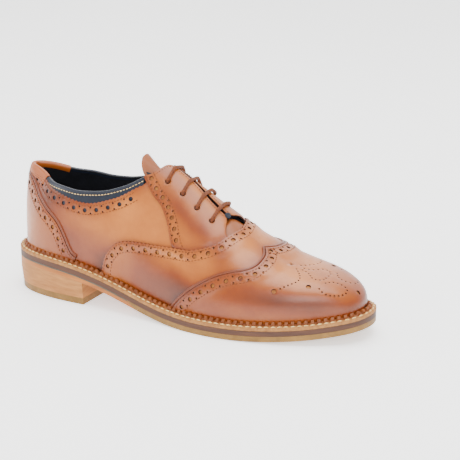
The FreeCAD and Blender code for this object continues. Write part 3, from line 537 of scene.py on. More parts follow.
def stitch_mesh(rows):
    """Points and faces of every stitch; a row is (points, runs, sides, normals, length, width)."""
    stops = np.array([-0.5, -0.36, 0.0, 0.36, 0.5])
    swell = np.array([0.12, 0.75, 1.0, 0.75, 0.12])
    sink = np.array([-0.55, -0.12, 0.1, -0.12, -0.55])
    angle = np.arange(6) / 6 * 2 * math.pi
    points, faces, start = [], [], 0
    for places, runs, sides, normals, length, width in rows:
        for p, r, s, n in zip(places, runs, sides, normals):
            for stop, fat, deep in zip(stops, swell, sink):
                centre = p + r * stop * length + n * deep * width
                radius = fat * width / 2
                points.append(centre + np.outer(np.cos(angle) * radius, s)
                              + np.outer(np.sin(angle) * radius, n))
            for k in range(4):
                for m in range(6):
                    a, b = start + k * 6 + m, start + k * 6 + (m + 1) % 6
                    faces.append([a, b, b + 6, a + 6])
            faces += [[start + k for k in range(6)], [start + 24 + k for k in range(6)]]
            start += 30
    return np.concatenate(points), faces


def stitch_row(path, height, pitch=2.7, length=2.15, width=0.62):
    """One row of stitches lying on the leather, whose surface is height(u, t) above the last."""
    path = resampled(path, pitch)
    path = (path[1:] + path[:-1]) / 2
    offset = height(*path.T) if callable(height) else height
    places, runs, sides, normals = edge_frames(path, np.asarray(offset) + 0.12)
    return places, runs, sides, normals, length, width


def brogue(path, pitch, big=1.55, small=0.62, spread=2.3):
    """Punched holes along a path: large ones, and between them a pair of small ones across the path."""
    count = max(1, int(round(lengths(path)[-1] / pitch)))
    line = resampled(path, lengths(path)[-1] / (2 * count))
    holes = [(u, t, big) for u, t in line[1::2]]
    pairs = line[2:-1:2]
    if len(pairs):
        for sign in (-1, 1):
            moved = sideways(np.array(line), sign * spread)[2:-1:2]
            holes += [(u, t, small) for u, t in moved]
    return holes


# ---- materials ----------------------------------------------------------------------------------
def node_material(name, roughness=0.5, coat=0.0, sheen=0.0, metallic=0.0):
    material = bpy.data.materials.new(name)
    material.use_nodes = True
    tree = material.node_tree
    shader = tree.nodes["Principled BSDF"]
    shader.inputs["Roughness"].default_value = roughness
    shader.inputs["Metallic"].default_value = metallic
    shader.inputs["Coat Weight"].default_value = coat
    shader.inputs["Coat Roughness"].default_value = 0.25
    shader.inputs["Specular IOR Level"].default_value = 0.4
    shader.inputs["Sheen Weight"].default_value = sheen
    return material, tree, shader


def add(tree, kind, links=(), **values):
    """A node with its plain settings, and links given as {input: output socket}."""
    node = tree.nodes.new(kind)
    for key, value in values.items():
        if hasattr(node, key):
            setattr(node, key, value)
        else:
            node.inputs[key.replace("_", " ")].default_value = value
    for key, socket in dict(links).items():
        tree.links.new(socket, node.inputs[key])
    return node


def colour(code):
    """A linear colour from a six-digit sRGB code."""
    parts = [int(code[k:k + 2], 16) / 255 for k in (0, 2, 4)]
    return [p / 12.92 if p <= 0.04045 else ((p + 0.055) / 1.055) ** 2.4 for p in parts] + [1.0]


def ramp(tree, socket, stops):
    node = tree.nodes.new("ShaderNodeValToRGB")
    elements = node.color_ramp.elements
    while len(elements) < len(stops):
        elements.new(0.5)
    for element, (place, code) in zip(elements, stops):
        element.position = place
        element.color = colour(code) if isinstance(code, str) else (code, code, code, 1)
    tree.links.new(socket, node.inputs[0])
    return node.outputs[0]


def noise(tree, where, scale, detail=4.0, roughness=0.55):
    node = add(tree, "ShaderNodeTexNoise", {"Vector": where})
    node.inputs["Scale"].default_value = scale
    node.inputs["Detail"].default_value = detail
    node.inputs["Roughness"].default_value = roughness
    return node.outputs["Fac"]


def math_node(tree, operation, first, second):
    node = tree.nodes.new("ShaderNodeMath")
    node.operation = operation
    for socket, value in zip(node.inputs, (first, second)):
        if isinstance(value, (int, float)):
            socket.default_value = value
        else:
            tree.links.new(value, socket)
    return node.outputs[0]


def bump(tree, shader, height, distance, strength=1.0):
    node = add(tree, "ShaderNodeBump", {"Height": height})
    node.inputs["Strength"].default_value = strength
    node.inputs["Distance"].default_value = distance
    tree.links.new(node.outputs[0], shader.inputs["Normal"])


def calf(name, light, base, burnt, dark, roughness=0.36, coat=0.25, grain=1.0):
    """Burnished calf: clouds of light and base colour, darkened by the mesh's per-point value, which holds
    the leather's hand burnish and painted shade, and lightened where that value holds painted highlights.
    """
    material, tree, shader = node_material(name, roughness, coat)
    where = add(tree, "ShaderNodeTexCoord").outputs["Object"]
    clouds = noise(tree, where, 26, 3)
    fine = noise(tree, where, 240, 5, 0.65)
    # The attribute read here carries burnish plus painted shade and painted highlights.
    burnish_and_light_value = add(tree, "ShaderNodeAttribute", attribute_name="burnish_and_painted_light").outputs["Fac"]
    value = burnish_and_light_value
    for field, weight in ((clouds, 0.55), (fine, 0.14)):
        swing = math_node(tree, "MULTIPLY", math_node(tree, "SUBTRACT", field, 0.5), weight)
        value = math_node(tree, "ADD", value, swing)
    tone = ramp(tree, value, [(0.0, light), (0.30, base), (0.62, burnt), (1.0, dark)])
    tree.links.new(tone, shader.inputs["Base Color"])
    gloss = ramp(tree, fine, [(0.3, roughness - 0.05), (0.7, roughness + 0.07)])
    tree.links.new(gloss, shader.inputs["Roughness"])
    pores = add(tree, "ShaderNodeTexVoronoi", {"Vector": where})
    pores.inputs["Scale"].default_value = 1500
    wrinkles = noise(tree, where, 620, 6, 0.6)
    height = math_node(tree, "ADD", math_node(tree, "MULTIPLY", pores.outputs["Distance"], 0.35), wrinkles)
    height = math_node(tree, "ADD", height, math_node(tree, "MULTIPLY", noise(tree, where, 70, 2), 3.0))
    bump(tree, shader, height, 0.00009 * grain, 0.6)
    return material


def mottled(name, stops, scale, roughness=0.6, depth=0.0001, fine=600, stretch=(1, 1, 1), **look):
    """A matt material whose colour follows noise along its grain."""
    material, tree, shader = node_material(name, roughness, **look)
    where = add(tree, "ShaderNodeTexCoord").outputs["Object"]
    mapping = add(tree, "ShaderNodeMapping", {"Vector": where})
    mapping.inputs["Scale"].default_value = stretch
    cloud = noise(tree, mapping.outputs[0], scale, 6, 0.6)
    tree.links.new(ramp(tree, cloud, stops), shader.inputs["Base Color"])
    bump(tree, shader, noise(tree, mapping.outputs[0], fine, 5, 0.6), depth, 0.7)
    return material


TAN = calf("calf_tan", "BE712E", "9C5216", "7D3509", "491A04", 0.34, 0.22)
UNDERLAY = mottled("underlay_tan", [(0.3, "794013"), (0.7, "B26D29")], 300)
CUT_EDGE = mottled("cut_edge", [(0.3, "260E04"), (0.7, "421C0A")], 400)
NAVY = calf("calf_navy", "161C29", "0F141F", "0B0F18", "07090F", 0.36, 0.15)
NAVY_FLOOR = mottled("underlay_navy", [(0.3, "06080D"), (0.7, "0D111B")], 300)
BEAD = calf("calf_bead", "6E3010", "58240A", "441A06", "301204", 0.36, 0.15)
TONGUE_TAN = calf("calf_tongue", "8D4B1F", "773C14", "652E0D", "4B1F08", 0.45, 0.05)
TAB_TAN = calf("calf_tab", "A4541C", "8F430F", "793408", "592305", 0.38, 0.15)
THREAD = mottled("thread_cream", [(0.3, "C8964C"), (0.7, "F2D79A")], 900, 0.7, 0.00005, 2500)
TAN_THREAD = mottled("thread_tan", [(0.3, "4A1E06"), (0.7, "864616")], 900, 0.7, 0.00005, 2500)
NAVY_THREAD = mottled("thread_navy", [(0.3, "10131C"), (0.7, "262C3C")], 900, 0.7, 0.00005, 2500)
LINING = mottled("lining_leather", [(0.3, "07080C"), (0.7, "12131B")], 120, 0.62, 0.0001, 900)
LACE_COTTON = mottled("lace_cotton", [(0.3, "4A1F06"), (0.7, "7C3C10")], 500, 0.8, 0.00012, 1600, sheen=0.05)
WELT_TAN = mottled("welt_leather", [(0.25, "845020"), (0.75, "B07A3C")], 260, 0.6, 0.00012, 1100)
RIB_TAN = mottled("rib_leather", [(0.25, "5E2A0A"), (0.75, "8E4E1E")], 260, 0.55, 0.00012, 1100)
INSOLE = mottled("insole_leather", [(0.3, "B88E63"), (0.7, "D0AA7E")], 120, 0.7)
BOARD = mottled("stiffener_board", [(0.3, "8D7B63"), (0.7, "A8957A")], 200, 0.8)
CORK = mottled("cork", [(0.35, "6E4B2C"), (0.65, "B98F5C")], 500, 0.85, 0.0003, 500)
STEEL = mottled("steel", [(0.3, "8A8C90"), (0.7, "B4B6BA")], 60, 0.35, 0.00002, 900, metallic=1.0)
BRASS = mottled("brass", [(0.3, "9A7A3C"), (0.7, "C7A25A")], 60, 0.35, 0.00002, 900, metallic=1.0)
AGLET = mottled("aglet_plastic", [(0.3, "5A3520"), (0.7, "7A4A2E")], 80, 0.25, 0.00002, 600)
ALONG_SOLE = (0.25, 0.25, 3)     # stretches a grain along a layer of the sole
MIDSOLE = mottled("midsole_leather", [(0.25, "3A1E10"), (0.75, "5C3620")], 90, 0.55, 0.00012, 500,
                  ALONG_SOLE)
SLIP = mottled("slip_board", [(0.25, "3C3E32"), (0.75, "5A5C4E")], 150, 0.7, 0.0001, 700)
OUTSOLE = mottled("outsole_leather", [(0.25, "8A480F"), (0.75, "B87028")], 90, 0.5, 0.0001, 500, ALONG_SOLE)
RUBBER = mottled("amber_rubber", [(0.25, "6E4C14"), (0.75, "92692A")], 110, 0.5, 0.0002, 420)
HEEL = mottled("heel_leather", [(0.2, "8C5420"), (0.8, "BE8242")], 160, 0.6, 0.00018, 420, (0.35, 0.35, 2.2))


# ---- the leathers of the upper ------------------------------------------------------------------
def pattern_d(u, t):
    middle = centre_line(u)
    side = np.where(t < middle, -1, 1)
    return side * (t - middle) / (1 - side * middle)


def spots(u, t, base, places):
    """Burnish-and-painted-light value: a base with soft spots (u, distance, reach along u, reach across,
    amount); positive amounts darken with burnish and painted shade, negative amounts lighten with painted
    highlights.
    """
    d = pattern_d(u, t)
    value = np.full(len(u), float(base))
    for u0, d0, long, wide, amount in places:
        value += amount * np.exp(-((u - u0) / long) ** 2 - ((d - d0) / wide) ** 2)
    return np.clip(value, 0, 1)


def edge_shade(gap, reach=4.5, amount=0.35):
    return amount * np.exp(-np.clip(gap, 0, None) / reach)


def climbing(edge):
    """Top of a leather that climbs onto its neighbour towards the edge u = edge(distance)."""
    def top(u, t):
        gap = edge(pattern_d(u, t)) - u
        return BASE[1] + (COVER[1] - BASE[1]) * smooth((16 - gap) / 8)
    return top


def under(top, thickness=1.15):
    return lambda u, t: top(u, t) - thickness


def joined(*paths):
    """Paths joined to one closed outline, without doubled corners."""
    loop = np.concatenate(paths)
    gap = np.linalg.norm(on_last(*loop.T) - on_last(*np.roll(loop, 1, 0).T), axis=1)
    return loop[gap > 0.35]


def pinked(path, sign, pitch=3.4, depth=0.75):
    """A path cut with pinking shears: small even notches."""
    line = resampled(path, pitch / 4)
    notch = np.abs((np.arange(len(line)) % 4) - 2) / 2.0
    return sideways(line, sign * depth * notch)


def along_side(line, u0, u1, side, shift=0.0):
    u = np.linspace(u0, u1, 90)
    return np.c_[u, pattern_t(u, line(u) + shift, side)]


def twin_rows(inner, outer, top):
    """The two rows of stitches on either side of a punched border."""
    tan_stitches.extend([stitch_row(inner, top), stitch_row(outer, top)])


wing_top = climbing(wing_edge)
vamp_top = climbing(vamp_edge)
WING_LINE, VAMP_LINE = across(wing_edge), across(vamp_edge)
ROW_IN, HOLE_LINE, ROW_OUT = 2.0, 5.3, 8.6     # the border's rows, from the edge inwards
WING_PITCH, VAMP_PITCH, BACK_PITCH, FACING_PITCH = 11.2, 10.6, 10.4, 9.6   # between large holes
THROAT_STEP = 0.85       # between the points of the smooth throat edge
stitches, tan_stitches = [], []


def mirrored(u, t):
    """The same place on the inner side of the pattern's centre line."""
    return u, float(pattern_t(u, pattern_d(np.array([u]), np.array([t])), 1)[0])


def dotted(points, pitch=3.3, radius=0.55):
    """Small holes at even pitch along a smooth path."""
    line = resampled(spline_path(points), pitch)
    return [(u, t, radius) for u, t in line]


def spline_path(points):
    """A smooth path through a few (u, t) points."""
    points = np.array(points, float)
    stops = np.r_[0, np.cumsum(np.hypot(*(np.diff(points, axis=0) * (1, CHART_WIDTH)).T))]
    fine = np.linspace(0, stops[-1], 80)
    return np.c_[spline(np.c_[stops, points[:, 0]])(fine), spline(np.c_[stops, points[:, 1]])(fine)]


def medallion():
    """The punched figure on the wing's toe, the same on both sides of the centre line."""
    half = [(75.5, -0.142, 1.5), (74.1, -0.655, 1.7), (52.1, -0.495, 1.7)]
    half += dotted([(70, -0.19), (64, -0.30), (62, -0.42), (66, -0.53), (70.5, -0.61)])
    half += dotted([(44, -0.50), (36, -0.60), (27, -0.56), (24, -0.42), (28, -0.27), (37, -0.24),
                    (43, -0.33)])
    half += dotted([(66, -0.165), (59, -0.215), (53, -0.30), (47, -0.27), (46, -0.195)])
    other = [(*mirrored(u, t), r) for u, t, r in half]
    return half + other + [(16, -0.186, 1.6)]


def wing():
    feather = np.c_[np.r_[np.linspace(wing_edge(1.0), 2.5, 60)], np.full(60, -1.0)]
    nose = np.c_[np.full(23, 2.5), np.linspace(-1, 1, 25)[1:-1]]
    inner = np.c_[feather[::-1, 0], np.full(60, 1.0)]
    outline = joined(resampled(feather, 1.6)[:-1], resampled(nose, 0.8), resampled(inner, 1.6),
                     resampled(WING_LINE[::-1], 1.3)[1:-1])
    holes = brogue(beside(WING_LINE, HOLE_LINE)[4:-4], WING_PITCH) + medallion()
    twin_rows(beside(WING_LINE, ROW_IN), beside(WING_LINE, ROW_OUT), wing_top)

    # Burnish darkens the toe tip; painted shade darkens the lower sides and the strip by the wing's edge,
    # and a painted highlight lightens the top of the toe.
    def shade(u, t):
        gap = wing_edge(pattern_d(u, t)) - u
        burnish_and_light_spots = [(75, 0.72, 30, 0.14, 0.5), (35, 0.75, 25, 0.2, 0.35), (5, 0.5, 16, 2, 0.35),
                  (70, 0.25, 30, 0.25, -0.25), (120, 0.95, 25, 0.2, 0.15)]
        return spots(u, t, 0.36, burnish_and_light_spots) + edge_shade(gap)
    leather("wing_tip", outline, holes, [TAN, UNDERLAY, CUT_EDGE], wing_top, under(wing_top),
            (toe_chart, toe_back), burnish_and_painted_light=shade, stands_for=["wing_cap"], slot="tan_leather")
    bead("wing_bead", beside(WING_LINE, -1.3), BASE[1] + 0.1, 2.4, 1.25, [BEAD],
         stands_for=["wing_piping"], slot="tan_leather")


def vamp():
    front = sideways(WING_LINE, 7.0)
    edge = pinked(VAMP_LINE, 1)
    low = [np.c_[np.linspace(a, b, 40), np.full(40, s)] for a, b, s in
           ((front[-1, 0], vamp_edge(1.0), 1.0), (vamp_edge(1.0), front[0, 0], -1.0))]
    low = [resampled(path, 1.8)[1:-1] for path in low]
    outline = joined(resampled(front, 2.0), low[0], edge[::-1], low[1])
    line = beside(VAMP_LINE, HOLE_LINE)
    holes = brogue(line[3:-3], VAMP_PITCH)
    twin_rows(beside(VAMP_LINE, ROW_IN), beside(VAMP_LINE, ROW_OUT), vamp_top)

    # Darker spots low on the sides, in the crease and by the throat hold burnish and painted shade; the
    # lighter spots are painted highlights, and painted shade darkens the strips by the vamp's edge and under
    # the wing's edge.
    def shade(u, t):
        d = pattern_d(u, t)
        burnish_and_light_spots = [(178, 0.93, 26, 0.16, 0.55), (150, 0.86, 14, 0.12, 0.35), (118, 0.45, 9, 0.14, 0.35),
                  (160, 0.72, 24, 0.07, -0.22), (108, 0.2, 14, 0.2, -0.18)]
        return (spots(u, t, 0.24, burnish_and_light_spots)
                + edge_shade(vamp_edge(d) - u) + edge_shade(u - wing_edge(d), 5, 0.45))
    leather("vamp_leather", outline, holes, [TAN, UNDERLAY, CUT_EDGE], vamp_top, under(vamp_top),
            burnish_and_painted_light=shade, stands_for=["vamp"], slot="tan_leather")


def quarter(side, word):
    share = np.linspace(0.56, 1.0, 60)
    u = vamp_edge(share) - 6.0
    front = np.c_[u, pattern_t(u, share, side)]
    low = np.c_[np.linspace(u[-1], 258, 30), np.full(30, side)]
    counter = along_side(lambda v: np.minimum(counter_top(v) + 0.08, 1.0), 258, BACK - 0.3, side)
    back_d = np.linspace(counter_top(BACK) + 0.08, collar_seam(BACK), 12)
    back = np.c_[np.full(12, BACK - 0.3), pattern_t(np.full(12, BACK - 0.3), back_d, side)]
    seam = along_side(collar_seam, BACK - 0.3, 198.5, side)
    tuck = along_side(lambda v: facing_rear(v) - 0.03, 196, 157, side)
    outline = joined(resampled(front, 1.8), resampled(low, 2)[1:-1], resampled(counter, 2),
                     resampled(back, 1.5)[1:-1], pinked(seam, -1), resampled(tuck, 2)[1:-1])

    def top(u, t):
        d = pattern_d(u, t)
        return BASE[1] + 0.75 * smooth(1 - (d - collar_seam(u)) / 0.12) * smooth((u - 190) / 10)

    # Darker spots behind and low down hold burnish and painted shade; the lighter spots are painted
    # highlights, and painted shade darkens the strips beside the collar, the vamp and the counter.
    def shade(u, t):
        d = pattern_d(u, t)
        burnish_and_light_spots = [(288, 0.74, 30, 0.09, 0.42), (255, 0.90, 22, 0.08, 0.32), (226, 0.95, 12, 0.1, 0.3),
                  (208, 0.66, 22, 0.10, -0.16), (240, 0.80, 20, 0.05, -0.1)]
        return (spots(u, t, 0.16, burnish_and_light_spots)
                + edge_shade((d - collar_seam(u)) * GIRTH) + edge_shade(u - vamp_edge(d), 4, 0.3)
                + edge_shade((counter_top(u) - d) * GIRTH, 4, 0.35))
    line = along_side(collar_seam, 206.5, 317, side)
    rows = [beside(line, side * distance) for distance in (ROW_IN, HOLE_LINE, ROW_OUT)]
    twin_rows(rows[0], rows[2], top)
    leather("quarter_leather_" + word, outline, brogue(rows[1], BACK_PITCH), [TAN, NAVY_FLOOR, CUT_EDGE],
            top, under(top), burnish_and_painted_light=shade, stands_for=["quarter_" + word], slot="tan_leather")


def facing(side, word):
    share = np.linspace(0.222, 0.672, 50)
    u = vamp_edge(share) - 4.0
    front = np.c_[u, pattern_t(u, share, side)]
    rear = along_side(facing_rear, 158.5, 200, side)
    throat = along_side(top_edge, 200, 116, side)
    outline = joined(resampled(front, 1.6), resampled(rear, 1.6)[1:], resampled(throat, THROAT_STEP)[1:-1])

    def top(u, t):
        return 1.25 + 1.2 * smooth((u - vamp_edge(pattern_d(u, t)) + 0.5) / 4.5)

    # Darker spots hold burnish and painted shade; the lighter spot near the throat is a painted highlight,
    # and painted shade darkens the strips beside the vamp and along the rear edge.
    def shade(u, t):
        d = pattern_d(u, t)
        burnish_and_light_spots = [(158, 0.43, 22, 0.07, 0.38), (185, 0.22, 14, 0.1, 0.2), (136, 0.36, 8, 0.08, 0.25),
                  (150, 0.12, 30, 0.06, -0.2)]
        return (spots(u, t, 0.30, burnish_and_light_spots)
                + edge_shade(u - vamp_edge(d), 4, 0.35) + edge_shade((facing_rear(u) - d) * GIRTH, 4, 0.3))
    rows = [beside(rear, -side * distance) for distance in (1.6, 4.9, 8.1)]
    rows = [row[row[:, 0] > vamp_edge(pattern_d(*row.T)) + 1.5] for row in rows]
    twin_rows(rows[0], rows[2], top)
    edge = beside(along_side(top_edge, 128, 199, side), side * 1.9)
    tan_stitches.append(stitch_row(edge, top, 2.2, 1.7, 0.5))
    open_holes = [(u, float(pattern_t(u, d, side)), 1.95) for u, d in EYELETS]
    leather("facing_leather_" + word, outline, brogue(rows[1], FACING_PITCH), [TAN, UNDERLAY, CUT_EDGE],
            top, under(top), through=open_holes, burnish_and_painted_light=shade, stands_for=["facing_" + word],
            slot="tan_leather")


def counter():
    last_u = 2 * BACK - 251
    u = np.linspace(251, last_u, 160)
    edge = np.c_[u, -counter_top(np.minimum(u, 2 * BACK - u))]
    feather = np.c_[np.linspace(last_u, 251, 140), np.full(140, -1.0)]
    outline = joined(resampled(edge, 1.6), resampled(feather, 2)[1:-1])

    def top(u, t):
        return np.full(len(u), COVER[1])

    # Burnish and painted shade darken the counter along its top edge and towards the feather line.
    def shade(u, t):
        v = np.minimum(u, 2 * BACK - u)
        edge_value = edge_shade((-t - counter_top(v)) * GIRTH, 6, 0.45)
        return np.clip(0.10 + edge_value + 0.25 * smooth((-t - 0.86) / 0.14), 0, 1)
    rows = [beside(edge, -distance) for distance in (ROW_IN, HOLE_LINE, ROW_OUT)]
    rows = [row[row[:, 1] > -0.985] for row in rows]
    twin_rows(rows[0], rows[2], top)
    leather("counter_leather", outline, brogue(rows[1], BACK_PITCH), [TAN, UNDERLAY, CUT_EDGE],
            top, under(top), burnish_and_painted_light=shade, stands_for=["counter_cover"], slot="tan_leather")
    bead("counter_bead", beside(edge, 1.3), BASE[1] + 0.1, 2.4, 1.3, [BEAD],
         stands_for=["counter_piping"], slot="tan_leather")


def rim_sections(path, down, outside, inside, roll, centre):
    """Sections wrapped over the rim of the upper. outside and inside are (distance down, offset) lists,
    roll is the radius over the rim and centre its (distance down, offset)."""
    points, _, side, normal = edge_frames(path, 0.0)
    turn = np.linspace(0.5 * math.pi, -0.5 * math.pi, 9)
    arc = [(centre[0] - roll * math.cos(a), centre[1] + roll * math.sin(a)) for a in turn]
    shape = np.array(list(outside) + arc + list(inside))
    return [p + np.outer(shape[:, 0], down * s) + np.outer(shape[:, 1], n)
            for p, s, n in zip(points, side, normal)]


def collar(side, word):
    path = resampled(along_side(top_edge, 198.5, BACK - 0.4, side), 2.0)
    u = path[:, 0]
    seam = pattern_t(u, collar_seam(u) + 0.05, side)
    rolled = rim_sections(path, side, [], [(2.6, -2.1), (2.2, -0.9)], 1.5, (1.15, -0.5))
    shares = np.array([0.0, 0.2, 0.4, 0.6, 0.75, 0.86])
    puff = np.array([0.75, 1.05, 1.3, 1.35, 1.3, 1.15])
    sections = []
    for k in range(len(path)):
        t = seam[k] + (path[k, 1] - seam[k]) * shares
        outer = on_last(np.full(6, u[k]), t, puff)
        back = on_last(np.full(3, u[k]), t[[4, 2, 0]], np.array([0.1, 0.1, 0.1]))
        sections.append(np.concatenate([outer, rolled[k], back]))
    swept("collar_leather_" + word, sections, [NAVY], stands_for=["collar_" + word],
          slot="navy_leather")
    line = beside(along_side(top_edge, 201, 303, side), side * 3.1)
    stitches.append(stitch_row(line, 1.32, 2.7, 2.1, 0.6))


def heel_tab():
    u = np.linspace(303, 2 * BACK - 303, 60)
    path = resampled(np.c_[u, -top_edge(np.minimum(u, 2 * BACK - u))], 1.5)
    outside = [(1.2, 0.3), (7.8, 0.3), (8.2, 1.2), (7.8, 1.85), (5.0, 2.05), (2.5, 2.1)]
    sections = rim_sections(path, -1, outside, [(3.4, -2.8), (4.4, -2.3), (1.2, -0.6)], 2.1, (1.2, -0.35))
    swept("heel_tab_leather", sections, [TAB_TAN], stands_for=["heel_tab"], slot="tan_leather")
    tan_stitches.append(stitch_row(beside(path, -6.6), 1.98, 2.7, 2.0, 0.55))


wing()
vamp()
for side, word in ((-1, "outer"), (1, "inner")):
    quarter(side, word)
    facing(side, word)
    collar(side, word)
counter()
heel_tab()
add_piece("upper_stitches", *stitch_mesh(stitches), [THREAD], slot="thread")
add_piece("upper_fine_stitches", *stitch_mesh(tan_stitches), [TAN_THREAD], slot="thread")


# ---- tongue, lace and tack ----------------------------------------------------------------------
TONGUE_HALF = [(112, 0.36), (125, 0.36), (150, 0.36), (175, 0.385), (190, 0.40), (200, 0.42), (210, 0.41)]
TONGUE_DEPTH = [(112, 2.6), (120, 2.8), (126, 3.8), (131, 6.0), (137, 7.0), (160, 7.0), (186, 6.8),
                (198, 4.2), (209, 0.8)]
TONGUE_END = 209
TONGUE_LEAN = math.radians(56)   # how far the leather leans out at its widest half width
TONGUE_WIDEST, TONGUE_LEATHER = 0.385, 1.3
LACE, LACE_CORNER = 2.8, 1.9
LACE_STEP, BRAID_PITCH = 0.65, 5.2
BAR, RUN, ARCH = COVER[1] + 0.9 + LACE / 2, -4.45, 0.3
UPPER_TAIL = [(172, -0.40, -4.6), (163, -0.54, -4.7), (149, -0.68, -4.6), (131, -0.79, -4.4),
              (111, -0.87, -4.4), (90, -0.91, -4.4), (70, -0.89, -4.9), (53, -0.84, -6.0)]
LOWER_TAIL = [(154, -0.41, -4.7), (143, -0.52, -4.8), (128, -0.62, -4.8), (110, -0.70, -4.6),
              (92, -0.74, -5.0), (75, -0.72, -6.2)]


def tongue():
    """The tongue's outer leather: a bowed strip under the throat, with a rounded cut edge."""
    half, depth = spline(TONGUE_HALF), spline(TONGUE_DEPTH)
    share = np.linspace(-1, 1, 25)
    sections = []
    stops = np.r_[np.linspace(112, 196, 48), TONGUE_END - 13 * np.cos(np.linspace(0.15, math.pi / 2, 14))]
    for u in stops:
        middle, wide = float(centre_line(u)), float(half(u))
        if u > 197:
            wide *= 0.35 + 0.65 * math.sqrt(max(0.0, 1 - ((u - 197) / (TONGUE_END - 196.8)) ** 2))
        t = middle + wide * share
        ridge = frame_at([u], [middle])[3][0]
        lean = TONGUE_LEAN * wide * share / TONGUE_WIDEST
        up = np.outer(np.cos(lean), ridge) + np.c_[lean * 0, np.sin(lean), lean * 0]
        base = on_last(np.full(25, u), t)
        crown = 2.5 * smooth((128 - u) / 5) * np.clip(1 - (wide * share / 0.26) ** 2, 0, 1)
        down = (float(depth(u)) - crown)[:, None]
        top, low = base - up * down, base - up * (down + TONGUE_LEATHER)
        top[[0, -1]] = (0.7 * top + 0.3 * low)[[0, -1]]
        sections.append(np.concatenate([top, low[::-1]]))
    swept("tongue_leather", sections, [TONGUE_TAN], body="tongue", stands_for=["tongue"],
          slot="tan_leather")


def lace_route():
    """The middle of the lace from one tucked end to the other, with each corner rounded."""
    def bar(pair, side):
        u, d = EYELETS[pair]
        near, far = float(pattern_t(u, d, side)), float(pattern_t(u, d, -side))
        middle = [(u, near + (far - near) * k, BAR + ARCH) for k in (0.3, 0.7)]
        return [(u, near, RUN), (u, near, BAR)] + middle + [(u, far, BAR), (u, far, RUN)]

    def passing(pair, shift):
        u, d = EYELETS[pair]
        return [(u, float(pattern_t(u, d, 1)) + shift, RUN)]
    route = UPPER_TAIL[::-1] + bar(3, -1) + passing(2, 0.075) + bar(1, 1) + bar(0, -1) + passing(1, -0.075)
    route += bar(2, 1) + LOWER_TAIL
    u, t, offset = np.array(route).T
    corners = on_last(u, t, offset)
    path = [corners[:1]]
    for before, corner, after in zip(corners, corners[1:], corners[2:]):
        back, ahead = before - corner, after - corner
        reach = min(LACE_CORNER, 0.45 * np.linalg.norm(back), 0.45 * np.linalg.norm(ahead))
        first, second = (corner + v / np.linalg.norm(v) * reach for v in (back, ahead))
        k = np.linspace(0, 1, 7)[:, None]
        path.append((1 - k) ** 2 * first + 2 * k * (1 - k) * corner + k ** 2 * second)
    path.append(corners[-1:])
    path = np.concatenate(path)
    run = np.r_[0, np.cumsum(np.linalg.norm(np.diff(path, axis=0), axis=1))]
    stops = np.arange(0, run[-1], LACE_STEP)
    return np.stack([np.interp(stops, run, path[:, k]) for k in range(3)], 1)


def carried_frames(path):
    """Frames carried along a path in space without twisting."""
    run = np.gradient(path, axis=0)
    run /= np.linalg.norm(run, axis=1)[:, None]
    side = np.cross(run[0], (0, 0, 1.0))
    sides = []
    for r in run:
        side = side - r * (side @ r)
        side = side / np.linalg.norm(side)
        sides.append(side)
    sides = np.array(sides)
    return run, sides, np.cross(run, sides)


def lace():
    """A round braided lace: the braid's strands stand out along crossing helices."""
    path = lace_route()
    _, side, up = carried_frames(path)
    angle = np.arange(16) / 16 * 2 * math.pi
    turn = (np.arange(len(path)) * LACE_STEP * 2 * math.pi / BRAID_PITCH)[:, None]
    braid = np.sin(4 * angle + turn) * np.sin(4 * angle - turn)
    radius = LACE / 2 * (1 + 0.07 * braid)
    sections = [p + np.outer(np.cos(angle) * r, s) + np.outer(np.sin(angle) * r, n)
                for p, r, s, n in zip(path, radius, side, up)]
    swept("lace_cord", sections, [LACE_COTTON], stands_for=["lace"], slot="lace_cotton")


def throat_tack():
    """Navy thread wound across the foot of the lacing gap."""
    rows = []
    for k in range(9):
        u = 125.2 + 0.42 * k
        t = [float(pattern_t(u, 0.062 * (1 - 0.03 * (k - 4) ** 2), side)) for side in (-1, 1)]
        path = np.c_[np.full(12, u), np.linspace(t[0], t[1], 12)]
        places, runs, sides, normals = edge_frames(path, COVER[1] + 0.35)
        middle = len(path) // 2
        length = np.linalg.norm(places[-1] - places[0])
        rows.append((places[middle:middle + 1], runs[middle:middle + 1], sides[middle:middle + 1],
                     normals[middle:middle + 1], length, 0.75))
    add_piece("throat_tack_thread", *stitch_mesh(rows), [NAVY_THREAD], stands_for=["throat_tack"],
              slot="navy_thread")


# ---- welt and rib -------------------------------------------------------------------------------
RIB_PITCH = 4.8
WELT_OUT, WELT_THICK, WELT_IN = 8.0, 2.7, -2.6
PLAN_STEPS = 1280


def plan_path():
    """Points, normals and run of the feather line in plan, in even small steps."""
    here, normal = feather_plan(PLAN_STEPS)
    run = np.r_[0, np.cumsum(np.linalg.norm(np.diff(here, axis=0, append=here[:1]), axis=1))]
    stops = np.linspace(0, run[-1], PLAN_STEPS, endpoint=False)

    def around(values):
        return np.stack([np.interp(stops, run, np.r_[values[:, k], values[0, k]]) for k in range(2)], 1)
    normal = around(normal)
    return around(here), normal / np.linalg.norm(normal, axis=1)[:, None], stops, run[-1]


def plan_sections(shape):
    """Closed sections round the shoe; shape(teeth passed) gives (out, up) columns for every step."""
    here, normal, stops, total = plan_path()
    out, up = shape(stops / total * round(total / RIB_PITCH))
    x = here[:, None, 0] + normal[:, None, 0] * out
    y = here[:, None, 1] + normal[:, None, 1] * out
    return list(np.stack([x, y, feather_height(x) + up], 2))


